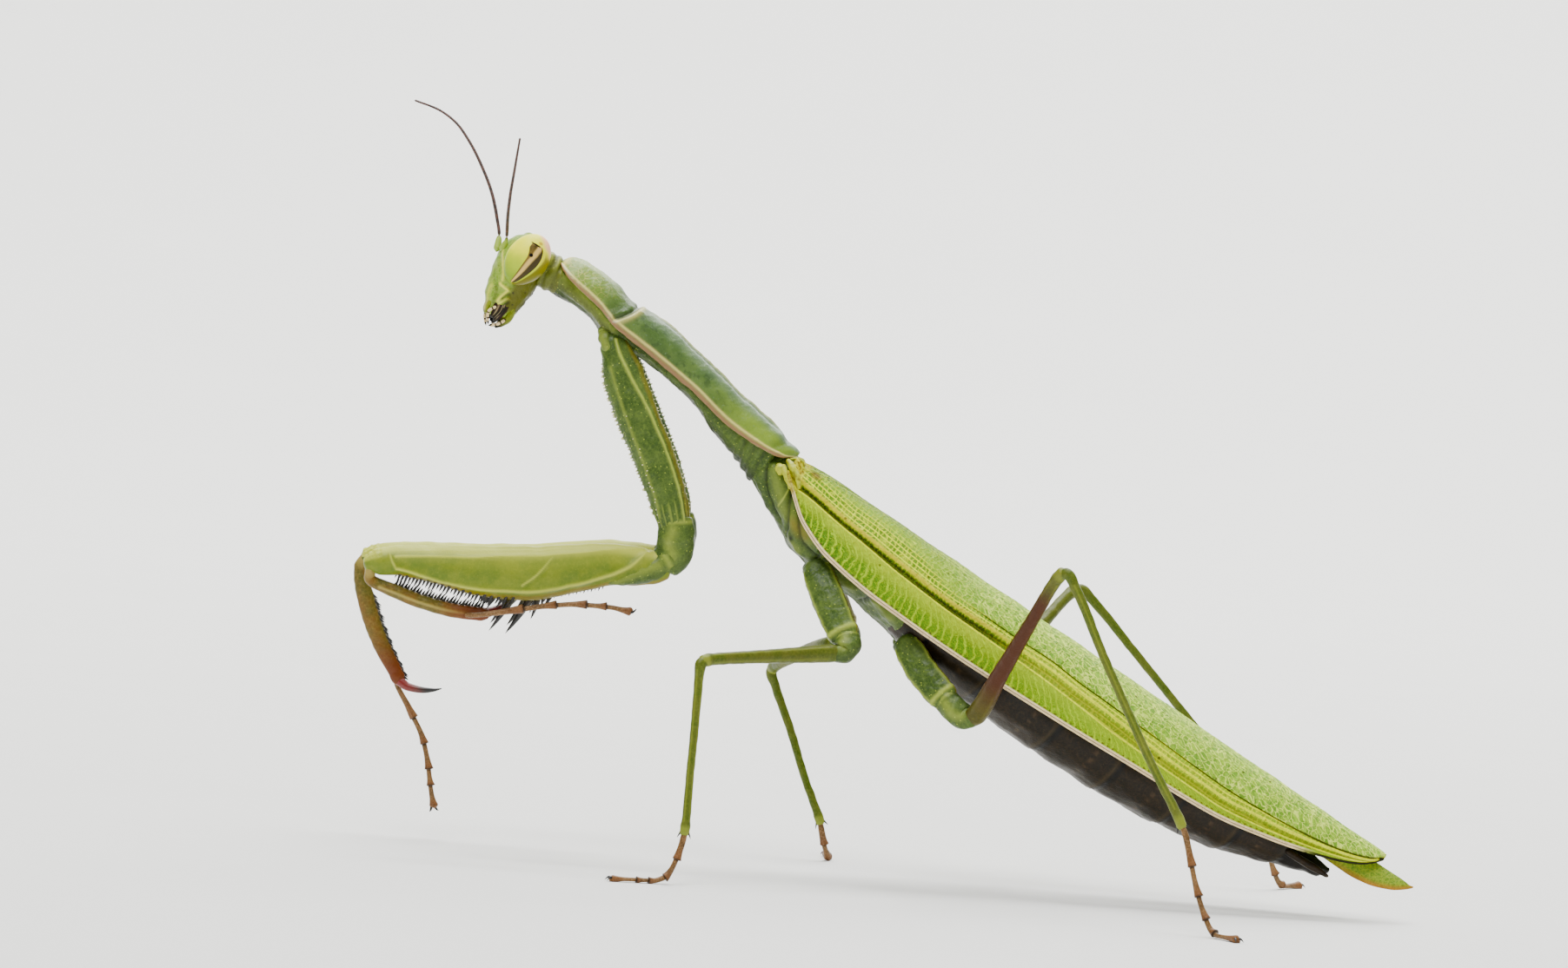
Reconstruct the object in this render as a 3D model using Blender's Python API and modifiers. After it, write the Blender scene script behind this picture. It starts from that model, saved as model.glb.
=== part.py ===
# A praying mantis at life size: a grown female standing on her four walking legs, with the wings
# folded over the back, the forelegs held out in front and the head turned to her left.
# Lengths are in millimetres until a mesh is made. +X runs from the head to the wing tips,
# +Y to the animal's right side and +Z up from the floor that she stands on.

import math

import bmesh
import bpy
from mathutils import Matrix, Vector

MM = 0.001
GAP = 0.06  # clearance between neighbouring solids
SPINE_ROOT, SPINE_TIP = 0.11, 0.03  # radii of the forelegs' spines
SPINE_SUNK = 0.18  # depth of a spine's root inside its limb
SHORT_SPINE = 0.65  # length of every other spine beside the next one
UP = Vector((0.0, 0.0, 1.0))
REARWARDS = Vector((1.0, 0.0, 0.0))
SHEET = 0.5  # thickness of a wing
FLOOR = 0.0  # the feet are flattened at this height
CENTRE_X = 8.07  # the middle of the whole animal, in the coordinates used below
CENTRE_Y = -1.0

# The body has two straight stretches, each with its own origin (x, z) and slope in degrees.
FRONT_ORIGIN, FRONT_SLOPE = (-16.4, 40.2), 35.6  # from the neck to the end of the pronotum
REAR_ORIGIN, REAR_SLOPE = (1.0, 28.4), 29.8  # from the wing bases to the wing tips

HINDWING_END = 51.4
WING_TOP = 0.5  # height of the folded wings' ridge above the rear axis
WING_OVERLAP = 1.1  # how far the left forewing reaches over the midline
WING_SEAM = 0.2  # clearance between a left wing and a right one
WING_GAP_AT_BASE = 1.0  # the inner edges' distance from the midline where the wings begin

HEAD_CENTRE = Vector((-19.75, -0.1, 39.8))
HEAD_TURN = 9.0  # degrees to the animal's left
HEAD_LEAN = 19.0  # degrees that the crown leans back
HEAD_TILT = 8.0  # degrees that the right side hangs lower than the left
EYE_PLACE = Vector((2.3, -0.22, 1.04))  # to the left, forwards and towards the crown
EYE_SIZE = Vector((1.15, 1.45, 1.95))  # half axes
EYE_SPLAY, EYE_SWING = 12.0, 14.0  # degrees that an eye's long axis leans outwards and back

GREEN = (0.17, 0.33, 0.08)
DARK_GREEN = (0.07, 0.15, 0.05)
LEAF = (0.42, 0.55, 0.07)
PALE_LEAF = (0.34, 0.50, 0.16)
OLIVE = (0.26, 0.32, 0.08)
BROWN = (0.26, 0.18, 0.09)
DARK_BROWN = (0.05, 0.03, 0.02)
TAUPE = (0.08, 0.07, 0.05)


def empty_the_scene():
    for old in list(bpy.data.objects):
        bpy.data.objects.remove(old, do_unlink=True)


def make_collection(name):
    collection = bpy.data.collections.new(name)
    bpy.context.scene.collection.children.link(collection)
    return collection


def finish_for(name, colour, roughness):
    finish = bpy.data.materials.new(name)
    finish.use_nodes = True
    shader = finish.node_tree.nodes["Principled BSDF"]
    shader.inputs["Base Color"].default_value = (*colour, 1.0)
    shader.inputs["Roughness"].default_value = roughness
    shader.inputs["Metallic"].default_value = 0.0
    return finish


def place(name, mesh, origin, colour, roughness=0.5):
    """Puts a mesh whose points are relative to origin into the model."""
    thing = bpy.data.objects.new(name, mesh)
    thing.location = origin * MM
    thing.parent = stance
    mesh.materials.append(finish_for(name, colour, roughness))
    mesh.shade_smooth()
    mesh.set_sharp_from_angle(angle=math.radians(40))
    animal.objects.link(thing)
    return thing


def skin(name, rings, colour, roughness=0.5):
    """A closed solid over rings that all have the same number of points."""
    origin = sum(rings[0], Vector()) / len(rings[0])
    count = len(rings[0])
    shape = bmesh.new()
    rows = [[shape.verts.new((point - origin) * MM) for point in ring] for ring in rings]
    for row, following in zip(rows, rows[1:]):
        for k in range(count):
            after = (k + 1) % count
            shape.faces.new((row[k], row[after], following[after], following[k]))
    shape.faces.new(list(reversed(rows[0])))
    shape.faces.new(rows[-1])
    bmesh.ops.recalc_face_normals(shape, faces=shape.faces)
    mesh = bpy.data.meshes.new(name)
    shape.to_mesh(mesh)
    shape.free()
    return place(name, mesh, origin, colour, roughness)


def oval(centre, across, up, half_width, rise, drop, corners):
    """A closed ring, rounder above or below its widest level when rise and drop differ."""
    ring = []
    for k in range(corners):
        angle = 2 * math.pi * k / corners
        height = rise if math.sin(angle) > 0 else drop
        ring.append(centre + across * (half_width * math.cos(angle)) + up * (height * math.sin(angle)))
    return ring


# ---- the trunk, as rings square to one of the two body axes ----

def body_point(origin, slope, along, side, height):
    angle = math.radians(slope)
    x = origin[0] + along * math.cos(angle) + height * math.sin(angle)
    z = origin[1] - along * math.sin(angle) + height * math.cos(angle)
    return Vector((x, side, z))


def body_ring(origin, slope, station, corners):
    """station is along, height of the widest level, half width, rise and drop."""
    along, level, half_width, rise, drop = station
    centre = body_point(origin, slope, along, 0.0, level)
    up = body_point(origin, slope, along, 0.0, level + 1.0) - centre
    return oval(centre, Vector((0.0, 1.0, 0.0)), up, half_width, rise, drop, corners)


def between(low, high, share):
    return tuple(a + (b - a) * share for a, b in zip(low, high))


def station_at(stations, along):
    for low, high in zip(stations, stations[1:]):
        if along <= high[0]:
            return between(low, high, (along - low[0]) / (high[0] - low[0]))
    return stations[-1]


def trunk(names, cuts, origin, slope, stations, colours, corners=16):
    """Cuts a tapering trunk into segments, with a gap at every cut."""
    for name, start, end, colour in zip(names, cuts, cuts[1:], colours):
        inner = [station for station in stations if start + 0.4 < station[0] < end - 0.4]
        first = station_at(stations, start + GAP / 2)
        last = station_at(stations, end - GAP / 2)
        rings = [body_ring(origin, slope, station, corners) for station in [first, *inner, last]]
        skin(name, rings, colour)


# along, level, half width, rise, drop
PRONOTUM = [
    (-0.45, 0.55, 0.70, 0.35, 0.02),
    (0.05, 0.32, 1.45, 1.15, 0.02),
    (0.85, 0.15, 1.95, 1.62, 0.02),
    (3.20, 0.00, 2.35, 1.98, 0.02),
    (5.35, -0.34, 2.75, 2.16, 0.02),
    (8.00, -0.30, 2.20, 2.38, 0.02),
    (11.60, -0.28, 1.80, 2.14, 0.02),
    (15.30, -0.55, 1.75, 2.12, 0.02),
    (17.70, -0.35, 1.75, 1.85, 0.02),
    (19.70, 0.15, 1.35, 1.15, 0.02),
    (20.45, 0.70, 0.55, 0.45, 0.02),
]
PROTHORAX = [
    (0.10, 0.08, 1.15, 0.02, 1.58),
    (3.30, -0.14, 1.90, 0.02, 0.88),
    (4.40, -0.34, 2.10, 0.02, 0.95),
    (5.70, -0.50, 2.20, 0.02, 1.25),
    (6.90, -0.48, 1.95, 0.02, 0.85),
    (8.00, -0.44, 1.80, 0.02, 0.32),
    (11.60, -0.42, 1.50, 0.02, 0.34),
    (15.00, -0.66, 1.50, 0.02, 0.85),
    (17.30, -0.52, 1.60, 0.02, 1.45),
    (19.10, -0.14, 1.30, 0.02, 2.40),
]
NECK = [
    (-0.95, -0.25, 0.98, 1.00, 1.15),
    (-0.55, -0.20, 1.20, 0.85, 1.50),
    (0.04, 0.05, 1.18, 0.17, 1.52),
]
TRUNK = [
    (-1.88, -1.30, 1.15, 0.85, 1.60),
    (-0.90, -1.40, 1.45, 1.30, 2.00),
    (0.60, -1.60, 1.75, 1.30, 2.55),
    (2.60, -2.50, 2.20, 1.55, 2.65),
    (5.00, -3.00, 2.70, 1.80, 2.55),
    (9.00, -3.50, 3.00, 2.25, 2.25),
    (13.50, -4.10, 3.20, 2.90, 2.45),
    (18.50, -4.50, 3.40, 3.35, 2.60),
    (24.40, -4.60, 3.40, 3.45, 2.70),
    (29.40, -4.50, 3.30, 3.30, 2.65),
    (34.30, -4.20, 2.95, 2.90, 2.45),
    (38.70, -3.75, 2.40, 2.20, 1.98),
    (42.30, -3.20, 1.70, 1.40, 1.25),
]
TRUNK_CUTS = [-1.88, 7.20, 13.50, 18.50, 24.40, 29.40, 34.30, 38.70, 42.30]
TRUNK_NAMES = [
    "mesothorax", "metathorax", "abdomen_1", "abdomen_2",
    "abdomen_3", "abdomen_4", "abdomen_5", "abdomen_6",
]
TRUNK_COLOURS = [GREEN, GREEN, DARK_GREEN, TAUPE, TAUPE, TAUPE, TAUPE, TAUPE]
ABDOMEN_TIP = [
    (42.36, -3.10, 1.50, 1.20, 1.28),
    (43.80, -2.95, 1.15, 0.72, 0.98),
    (44.80, -2.92, 0.92, 0.58, 0.62),
    (45.45, -2.92, 0.76, 0.48, 0.58),
    (45.75, -2.85, 0.45, 0.36, 0.30),
]


def add_trunk():
    skin("pronotum", [body_ring(FRONT_ORIGIN, FRONT_SLOPE, s, 20) for s in PRONOTUM], GREEN)
    skin("prothorax", [body_ring(FRONT_ORIGIN, FRONT_SLOPE, s, 16) for s in PROTHORAX], GREEN)
    skin("neck", [body_ring(FRONT_ORIGIN, FRONT_SLOPE, s, 12) for s in NECK], GREEN)
    trunk(TRUNK_NAMES, TRUNK_CUTS, REAR_ORIGIN, REAR_SLOPE, TRUNK, TRUNK_COLOURS)
    skin("abdomen_tip", [body_ring(REAR_ORIGIN, REAR_SLOPE, s, 12) for s in ABDOMEN_TIP], TAUPE)
    for side, name in ((-1, "cercus_left"), (1, "cercus_right")):
        root = body_point(REAR_ORIGIN, REAR_SLOPE, 43.3, side * 1.60, -3.05)
        tip = body_point(REAR_ORIGIN, REAR_SLOPE, 45.7, side * 1.70, -2.95)
        limb(name, [(*root, 0.3, 0.3), (*root.lerp(tip, 0.6), 0.28, 0.28), (*tip, 0.25, 0.25)], TAUPE, 6)


# ---- limbs, as rings square to a bent path ----

def limb_rings(stations, corners):
    """Rings along x, y, z, half width, half depth, mitred where the path bends."""
    points = [Vector(station[:3]) for station in stations]
    rings = []
    for k, (point, station) in enumerate(zip(points, stations)):
        before = points[max(k - 1, 0)]
        after = points[min(k + 1, len(points) - 1)]
        into = (point - before).normalized()
        out_of = (after - point).normalized()
        heading = (into + out_of).normalized()
        stretch = 1.0
        if into.length and out_of.length:
            stretch = 1.0 / max(heading.dot(into), 0.75)
        across = Vector((0.0, 1.0, 0.0))
        across = (across - heading * across.dot(heading)).normalized()
        up = across.cross(heading)
        half_width, half_depth = station[3], station[4]
        ring = oval(point, across, up, half_width, half_depth * stretch, half_depth * stretch, corners)
        rings.append([Vector((p.x, p.y, max(p.z, FLOOR))) for p in ring])
    return rings


def limb(name, stations, colour, corners=8):
    return skin(name, limb_rings(stations, corners), colour)


def shifted(ring, step):
    return [point + step for point in ring]


def chain(prefix, suffix, segments, corners=10):
    """A leg as one bent tube, cut at its joints with a gap at every cut; returns its last piece."""
    piece = None
    stations = []
    marks = []
    for _, _, own in segments:
        marks.append(len(stations))
        stations.extend(own)
    marks.append(len(stations))
    rings = limb_rings(stations, corners)
    for (part, colour, _), start, end in zip(segments, marks, marks[1:]):
        own = rings[start:end]
        if end < len(stations):
            middles = [(Vector(stations[k][:3])) for k in (end - 1, end)]
            pull = (middles[1] - middles[0]).normalized() * GAP
            own = own + [shifted(rings[end], -pull)]
        piece = skin(f"{prefix}_{part}_{suffix}", own, colour)
    return piece


# ---- legs: for each segment its stations, x, y, z, half width, half depth ----

def mirrored(stations):
    return [(x, -y, z, width, depth) for x, y, z, width, depth in stations]


FORE_COXA = [
    (-12.15, -2.10, 35.20, 0.75, 1.02),
    (-11.55, -2.45, 33.60, 0.90, 1.40),
    (-10.40, -2.90, 31.00, 0.98, 1.45),
    (-8.90, -3.30, 28.00, 0.95, 1.40),
    (-7.65, -3.55, 25.00, 0.92, 1.25),
]
FORE_TROCHANTER = [
    (-7.12, -3.70, 22.60, 0.88, 1.32),
    (-7.45, -3.78, 21.30, 0.82, 1.20),
]
FORE_FEMUR_LEFT = [
    (-8.70, -3.88, 20.72, 0.82, 1.22),
    (-10.90, -3.95, 20.72, 0.95, 1.42),
    (-14.00, -4.10, 20.22, 1.08, 1.68),
    (-17.20, -4.22, 19.65, 1.12, 1.88),
    (-20.00, -4.32, 19.58, 1.05, 1.75),
    (-23.00, -4.42, 19.80, 0.92, 1.38),
    (-25.60, -4.50, 19.88, 0.80, 1.05),
    (-27.20, -4.55, 19.70, 0.72, 0.92),
    (-27.95, -4.58, 19.55, 0.50, 0.60),
]
FORE_TIBIA_LEFT = [
    (-27.25, -4.50, 18.28, 0.40, 0.36),
    (-26.05, -4.48, 17.78, 0.46, 0.48),
    (-24.00, -4.40, 17.14, 0.46, 0.50),
    (-21.80, -4.25, 16.72, 0.44, 0.50),
    (-20.05, -4.05, 16.62, 0.40, 0.44),
]
FORE_CLAW_LEFT = [
    (-19.98, -3.90, 16.66, 0.34, 0.38),
    (-19.10, -3.40, 16.90, 0.28, 0.30),
    (-18.20, -3.00, 17.40, 0.25, 0.26),
    (-17.45, -2.80, 18.00, 0.20, 0.20),
]
FORE_TARSUS_LEFT = [
    (-20.50, -4.98, 16.55, 0.27, 0.27),
    (-17.60, -5.10, 17.12, 0.26, 0.26),
    (-15.40, -5.15, 17.60, 0.26, 0.26),
    (-13.10, -5.15, 17.86, 0.26, 0.26),
    (-11.30, -5.15, 17.84, 0.25, 0.25),
    (-9.85, -5.10, 17.62, 0.25, 0.25),
]
FORE_FEMUR_RIGHT = [
    (-9.00, 3.95, 20.68, 0.82, 1.22),
    (-11.30, 4.20, 20.57, 0.95, 1.42),
    (-14.50, 4.50, 19.92, 1.08, 1.68),
    (-17.70, 4.80, 19.30, 1.12, 1.88),
    (-20.50, 5.00, 19.20, 1.05, 1.75),
    (-23.60, 5.25, 19.43, 0.92, 1.38),
    (-26.20, 5.45, 19.55, 0.80, 1.05),
    (-27.90, 5.55, 19.45, 0.72, 0.90),
    (-28.60, 5.60, 19.38, 0.50, 0.60),
]
FORE_TIBIA_RIGHT = [
    (-28.85, 5.70, 18.30, 0.42, 0.50),
    (-28.45, 5.75, 16.70, 0.46, 0.60),
    (-27.80, 5.85, 14.90, 0.48, 0.62),
    (-27.00, 5.95, 13.25, 0.46, 0.60),
    (-26.05, 6.00, 11.70, 0.42, 0.52),
    (-25.75, 6.00, 11.05, 0.38, 0.46),
]
FORE_CLAW_RIGHT = [
    (-25.62, 5.85, 10.92, 0.32, 0.36),
    (-24.95, 5.70, 10.55, 0.28, 0.30),
    (-23.90, 5.60, 10.42, 0.25, 0.25),
    (-22.65, 5.60, 10.62, 0.16, 0.16),
]
FORE_TARSUS_RIGHT = [
    (-25.95, 6.75, 11.00, 0.27, 0.27),
    (-24.90, 6.85, 9.05, 0.26, 0.26),
    (-23.80, 6.85, 7.10, 0.26, 0.26),
    (-23.30, 6.80, 5.50, 0.26, 0.26),
    (-22.90, 6.75, 3.50, 0.25, 0.25),
    (-22.65, 6.75, 2.40, 0.25, 0.25),
]
MIDDLE_COXA = [
    (3.00, -2.25, 20.75, 0.90, 1.05),
    (3.80, -3.15, 19.20, 1.00, 1.12),
    (4.70, -4.10, 17.50, 0.92, 1.06),
]
MIDDLE_TROCHANTER = [
    (5.20, -4.75, 16.55, 0.80, 0.95),
    (5.00, -5.05, 15.95, 0.70, 0.72),
]
MIDDLE_FEMUR_LEFT = [
    (4.05, -5.45, 15.88, 0.55, 0.62),
    (1.50, -7.10, 15.66, 0.48, 0.54),
    (-1.80, -9.70, 15.42, 0.40, 0.44),
    (-4.00, -11.45, 15.22, 0.38, 0.42),
]
MIDDLE_TIBIA_LEFT = [
    (-4.60, -12.00, 14.90, 0.36, 0.40),
    (-4.66, -12.15, 13.90, 0.30, 0.32),
    (-4.72, -12.60, 10.80, 0.27, 0.29),
    (-4.78, -13.10, 7.20, 0.26, 0.28),
    (-4.80, -13.50, 4.30, 0.27, 0.30),
]
MIDDLE_TARSUS_LEFT = [
    (-4.90, -13.65, 3.10, 0.27, 0.30),
    (-5.15, -13.80, 2.10, 0.26, 0.26),
    (-5.50, -13.95, 1.10, 0.26, 0.26),
    (-6.00, -14.10, 0.45, 0.27, 0.27),
    (-6.80, -14.30, 0.20, 0.30, 0.24),
    (-9.40, -15.00, 0.20, 0.28, 0.22),
]
MIDDLE_FEMUR_RIGHT = [
    (4.15, 5.50, 15.80, 0.55, 0.62),
    (2.90, 8.30, 15.20, 0.48, 0.54),
    (1.40, 11.90, 14.25, 0.40, 0.44),
    (0.40, 14.70, 13.45, 0.38, 0.42),
]
MIDDLE_TIBIA_RIGHT = [
    (0.15, 15.40, 12.95, 0.36, 0.40),
    (0.50, 15.35, 12.00, 0.30, 0.32),
    (1.90, 14.80, 8.80, 0.27, 0.29),
    (3.15, 14.20, 5.60, 0.26, 0.28),
    (4.15, 13.75, 3.40, 0.27, 0.30),
]
MIDDLE_TARSUS_RIGHT = [
    (4.55, 13.60, 2.20, 0.27, 0.30),
    (4.80, 13.80, 1.20, 0.26, 0.26),
    (5.05, 14.20, 0.50, 0.27, 0.27),
    (5.15, 14.90, 0.20, 0.30, 0.24),
    (5.00, 17.60, 0.20, 0.28, 0.22),
]
HIND_COXA = [
    (9.76, -2.82, 16.00, 0.90, 1.00),
    (10.40, -3.20, 15.10, 0.98, 1.06),
    (11.50, -3.90, 13.95, 0.92, 1.05),
]
HIND_TROCHANTER = [
    (12.80, -4.70, 12.70, 0.80, 0.92),
    (13.60, -5.15, 12.15, 0.70, 0.78),
]
HIND_FEMUR_LEFT = [
    (14.35, -5.80, 12.55, 0.62, 0.72),
    (15.60, -8.20, 15.40, 0.52, 0.60),
    (17.40, -11.80, 19.50, 0.42, 0.46),
    (18.75, -14.40, 22.55, 0.38, 0.42),
]
HIND_TIBIA_LEFT = [
    (19.35, -15.10, 23.10, 0.38, 0.42),
    (20.05, -15.40, 22.20, 0.32, 0.34),
    (22.20, -16.60, 17.95, 0.28, 0.30),
    (24.10, -17.70, 14.40, 0.27, 0.29),
    (26.20, -19.10, 10.60, 0.27, 0.29),
    (27.90, -20.10, 7.80, 0.29, 0.33),
]
HIND_TARSUS_LEFT = [
    (28.50, -20.50, 6.60, 0.28, 0.30),
    (28.95, -20.80, 5.00, 0.26, 0.26),
    (29.60, -21.20, 2.80, 0.26, 0.26),
    (30.20, -21.60, 1.30, 0.26, 0.26),
    (30.70, -21.95, 0.45, 0.27, 0.27),
    (31.15, -22.50, 0.20, 0.30, 0.24),
    (32.20, -24.00, 0.20, 0.28, 0.22),
]
HIND_FEMUR_RIGHT = [
    (14.45, 5.90, 12.65, 0.62, 0.72),
    (16.20, 8.90, 14.90, 0.52, 0.60),
    (18.80, 12.80, 17.90, 0.42, 0.46),
    (20.75, 15.80, 20.10, 0.38, 0.42),
]
HIND_TIBIA_RIGHT = [
    (21.50, 16.50, 20.45, 0.38, 0.42),
    (22.40, 16.60, 19.75, 0.32, 0.34),
    (25.40, 17.00, 16.60, 0.28, 0.30),
    (28.70, 17.50, 13.10, 0.27, 0.29),
    (31.70, 17.95, 9.90, 0.27, 0.29),
    (34.20, 18.30, 7.30, 0.29, 0.33),
]
HIND_TARSUS_RIGHT = [
    (35.00, 18.50, 6.30, 0.28, 0.30),
    (35.70, 18.80, 4.60, 0.26, 0.26),
    (36.50, 19.20, 2.50, 0.26, 0.26),
    (37.00, 19.50, 1.20, 0.26, 0.26),
    (37.45, 19.95, 0.45, 0.27, 0.27),
    (37.90, 20.60, 0.20, 0.30, 0.24),
    (38.90, 22.00, 0.20, 0.28, 0.22),
]


# ---- the forelegs' spines, joined to the femur or tibia that they grow from ----

# each row's first and last share of the way along the limb, count, lean along the limb,
# length and distance from the middle in half widths
FEMUR_ROWS = [
    (0.44, 0.77, 9, 0.5, 0.42, -0.45),
    (0.45, 0.76, 9, 0.5, 0.42, 0.45),
]
TIBIA_ROWS = [(0.22, 0.92, 12, 0.6, 0.45, 0.0)]
# the long ones in the middle of a femur: share of the way along, lean, length and distance aside
LONG_SPINES = [
    (0.387, 0.87, 2.40, -0.20),
    (0.354, 0.68, 2.60, -0.20),
    (0.319, 0.54, 1.70, 0.10),
    (0.299, 0.46, 0.95, 0.10),
]


def station_along(stations, share):
    """The station a share of the way along, counted in stations."""
    place_in_list = share * (len(stations) - 1)
    low = min(int(place_in_list), len(stations) - 2)
    return between(stations[low], stations[low + 1], place_in_list - low)


def spine(stations, share, facing, clawwards, lean, length, aside):
    """Root and tip of a spine that faces one way and leans along the limb."""
    x, y, z, half_width, half_depth = station_along(stations, share)
    centre = Vector((x, y + aside * half_width, z))
    reach = half_depth * math.sqrt(1.0 - aside * aside)
    root = centre + facing * (reach - SPINE_SUNK)
    tip = centre + facing * (reach + length) + clawwards * (lean * length)
    return root, tip


def spine_rows(stations, rows, facing, clawwards):
    """Rows in which every other spine is shorter."""
    spines = []
    for first, last, count, lean, length, aside in rows:
        for k in range(count):
            share = first + (last - first) * k / (count - 1)
            own_length = length if k % 2 else length * SHORT_SPINE
            spines.append(spine(stations, share, facing, clawwards, lean, own_length, aside))
    return spines


def join_spines(host, spines):
    shape = bmesh.new()
    for root, tip in spines:
        axis = tip - root
        turn = axis.to_track_quat("Z", "Y").to_matrix().to_4x4()
        middle = Matrix.Translation((root + tip) / 2 * MM)
        bmesh.ops.create_cone(
            shape, cap_ends=True, segments=5, radius1=SPINE_ROOT * MM, radius2=SPINE_TIP * MM,
            depth=axis.length * MM, matrix=middle @ turn,
        )
    mesh = bpy.data.meshes.new(f"{host.name}_spines")
    shape.to_mesh(mesh)
    shape.free()
    comb = bpy.data.objects.new(f"{host.name}_spines", mesh)
    comb.parent = stance
    comb.hide_render = True
    comb.display_type = "WIRE"
    cutters.objects.link(comb)
    union = host.modifiers.new("spines", "BOOLEAN")
    union.operation = "UNION"
    union.object = comb


def add_forelegs():
    for suffix, coxa, trochanter, femur, tibia, claw, tarsus, facing, clawwards in (
        ("left", FORE_COXA, FORE_TROCHANTER, FORE_FEMUR_LEFT,
         FORE_TIBIA_LEFT, FORE_CLAW_LEFT, FORE_TARSUS_LEFT, UP, REARWARDS),
        ("right", mirrored(FORE_COXA), mirrored(FORE_TROCHANTER), FORE_FEMUR_RIGHT,
         FORE_TIBIA_RIGHT, FORE_CLAW_RIGHT, FORE_TARSUS_RIGHT, REARWARDS, -UP),
    ):
        upper = [("coxa", DARK_GREEN, coxa), ("trochanter", DARK_GREEN, trochanter), ("femur", OLIVE, femur)]
        upper_piece = chain("fore", suffix, upper, 12)
        under = spine_rows(femur, FEMUR_ROWS, -UP, -REARWARDS)
        for share, lean, length, aside in LONG_SPINES:
            under.append(spine(femur, share, -UP, -REARWARDS, lean, length, aside))
        join_spines(upper_piece, under)
        lower_piece = limb(f"fore_tibia_{suffix}", tibia, OLIVE)
        join_spines(lower_piece, spine_rows(tibia, TIBIA_ROWS, facing, clawwards))
        limb(f"fore_claw_{suffix}", claw, DARK_BROWN, 6)
        limb(f"fore_tarsus_{suffix}", tarsus, BROWN, 6)


def add_walking_legs():
    for prefix, suffix, coxa, trochanter, femur, tibia, tarsus in (
        ("middle", "left", MIDDLE_COXA, MIDDLE_TROCHANTER,
         MIDDLE_FEMUR_LEFT, MIDDLE_TIBIA_LEFT, MIDDLE_TARSUS_LEFT),
        ("middle", "right", mirrored(MIDDLE_COXA), mirrored(MIDDLE_TROCHANTER),
         MIDDLE_FEMUR_RIGHT, MIDDLE_TIBIA_RIGHT, MIDDLE_TARSUS_RIGHT),
        ("hind", "left", HIND_COXA, HIND_TROCHANTER,
         HIND_FEMUR_LEFT, HIND_TIBIA_LEFT, HIND_TARSUS_LEFT),
        ("hind", "right", mirrored(HIND_COXA), mirrored(HIND_TROCHANTER),
         HIND_FEMUR_RIGHT, HIND_TIBIA_RIGHT, HIND_TARSUS_RIGHT),
    ):
        segments = [
            ("coxa", DARK_GREEN, coxa), ("trochanter", DARK_GREEN, trochanter),
            ("femur", OLIVE, femur), ("tibia", OLIVE, tibia), ("tarsus", BROWN, tarsus),
        ]
        chain(prefix, suffix, segments, 8)


# ---- wings: sheets bent over the back like a vault ----

# along, half width, depth from the ridge to the outer margin
FOREWING = [
    (-0.45, 1.95, 1.55),
    (0.60, 2.30, 2.40),
    (2.50, 3.00, 3.80),
    (5.30, 3.80, 4.75),
    (9.50, 4.35, 5.20),
    (15.00, 4.60, 5.30),
    (24.00, 4.60, 5.05),
    (30.00, 4.35, 4.75),
    (36.50, 3.75, 4.40),
    (41.00, 3.05, 3.60),
    (44.50, 2.35, 2.65),
    (46.80, 1.75, 1.80),
    (48.00, 1.20, 1.05),
    (48.60, 0.70, 0.45),
]
HINDWING = [
    (5.00, 1.90, 1.60),
    (9.00, 2.60, 2.10),
    (16.00, 3.00, 2.35),
    (24.00, 3.00, 2.30),
    (32.00, 2.60, 2.20),
    (39.00, 1.95, 2.15),
    (44.00, 1.35, 2.20),
    (46.90, 1.02, 2.25),
    (48.40, 1.00, 2.05),
    (50.10, 0.90, 1.35),
    (51.00, 0.70, 0.65),
    (HINDWING_END, 0.40, 0.30),
]


def fade(value, start, end):
    return max(0.0, min(1.0, (value - start) / (end - start)))


def past_midline(along, far, far_at_tip):
    """How far an inner edge lies from the midline: apart at the bases, then far, then far_at_tip."""
    edge = WING_GAP_AT_BASE + (far - WING_GAP_AT_BASE) * fade(along, -0.5, 7.5)
    return edge + (far_at_tip - far) * fade(along, 40.0, 46.0)


def wing(name, side, stations, sink, inner_edge, reaches, steps, colour):
    """A sheet from its inner edge, which inner_edge describes, down to its outer margin."""
    shape = bmesh.new()
    rows = []
    for along, half_width, depth in stations:
        inner = past_midline(along, *inner_edge)
        start = math.asin(max(-0.8, min(0.8, inner / half_width)))
        end = math.radians(reaches[0] + (reaches[1] - reaches[0]) * fade(along, 38.0, 45.0))
        row = []
        for k in range(steps + 1):
            angle = start + (end - start) * k / steps
            out = side * half_width * math.sin(angle)
            height = WING_TOP - sink - depth * (1.0 - math.cos(angle))
            row.append(shape.verts.new(body_point(REAR_ORIGIN, REAR_SLOPE, along, out, height) * MM))
        rows.append(row)
    for row, following in zip(rows, rows[1:]):
        for k in range(steps):
            corners = (row[k], following[k], following[k + 1], row[k + 1])
            shape.faces.new(corners if side > 0 else tuple(reversed(corners)))
    mesh = bpy.data.meshes.new(name)
    shape.to_mesh(mesh)
    shape.free()
    sheet = place(name, mesh, Vector(), colour)
    solid = sheet.modifiers.new("thickness", "SOLIDIFY")
    solid.thickness = SHEET * MM
    solid.offset = -1.0
    return sheet


def add_wings():
    over = (-WING_OVERLAP, -WING_SEAM)
    under = (WING_OVERLAP + WING_SEAM, 2.5 * WING_SEAM)
    wing("forewing_left", -1, FOREWING, 0.0, over, (90, 90), 7, LEAF)
    wing("forewing_right", 1, FOREWING, 0.0, under, (90, 90), 6, LEAF)
    layer = SHEET + 2.5 * GAP
    apart = (WING_SEAM, 2.0 * WING_SEAM)
    wing("hindwing_left", -1, HINDWING, layer, apart, (58, 82), 4, PALE_LEAF)
    wing("hindwing_right", 1, HINDWING, layer, apart, (58, 82), 4, PALE_LEAF)


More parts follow.
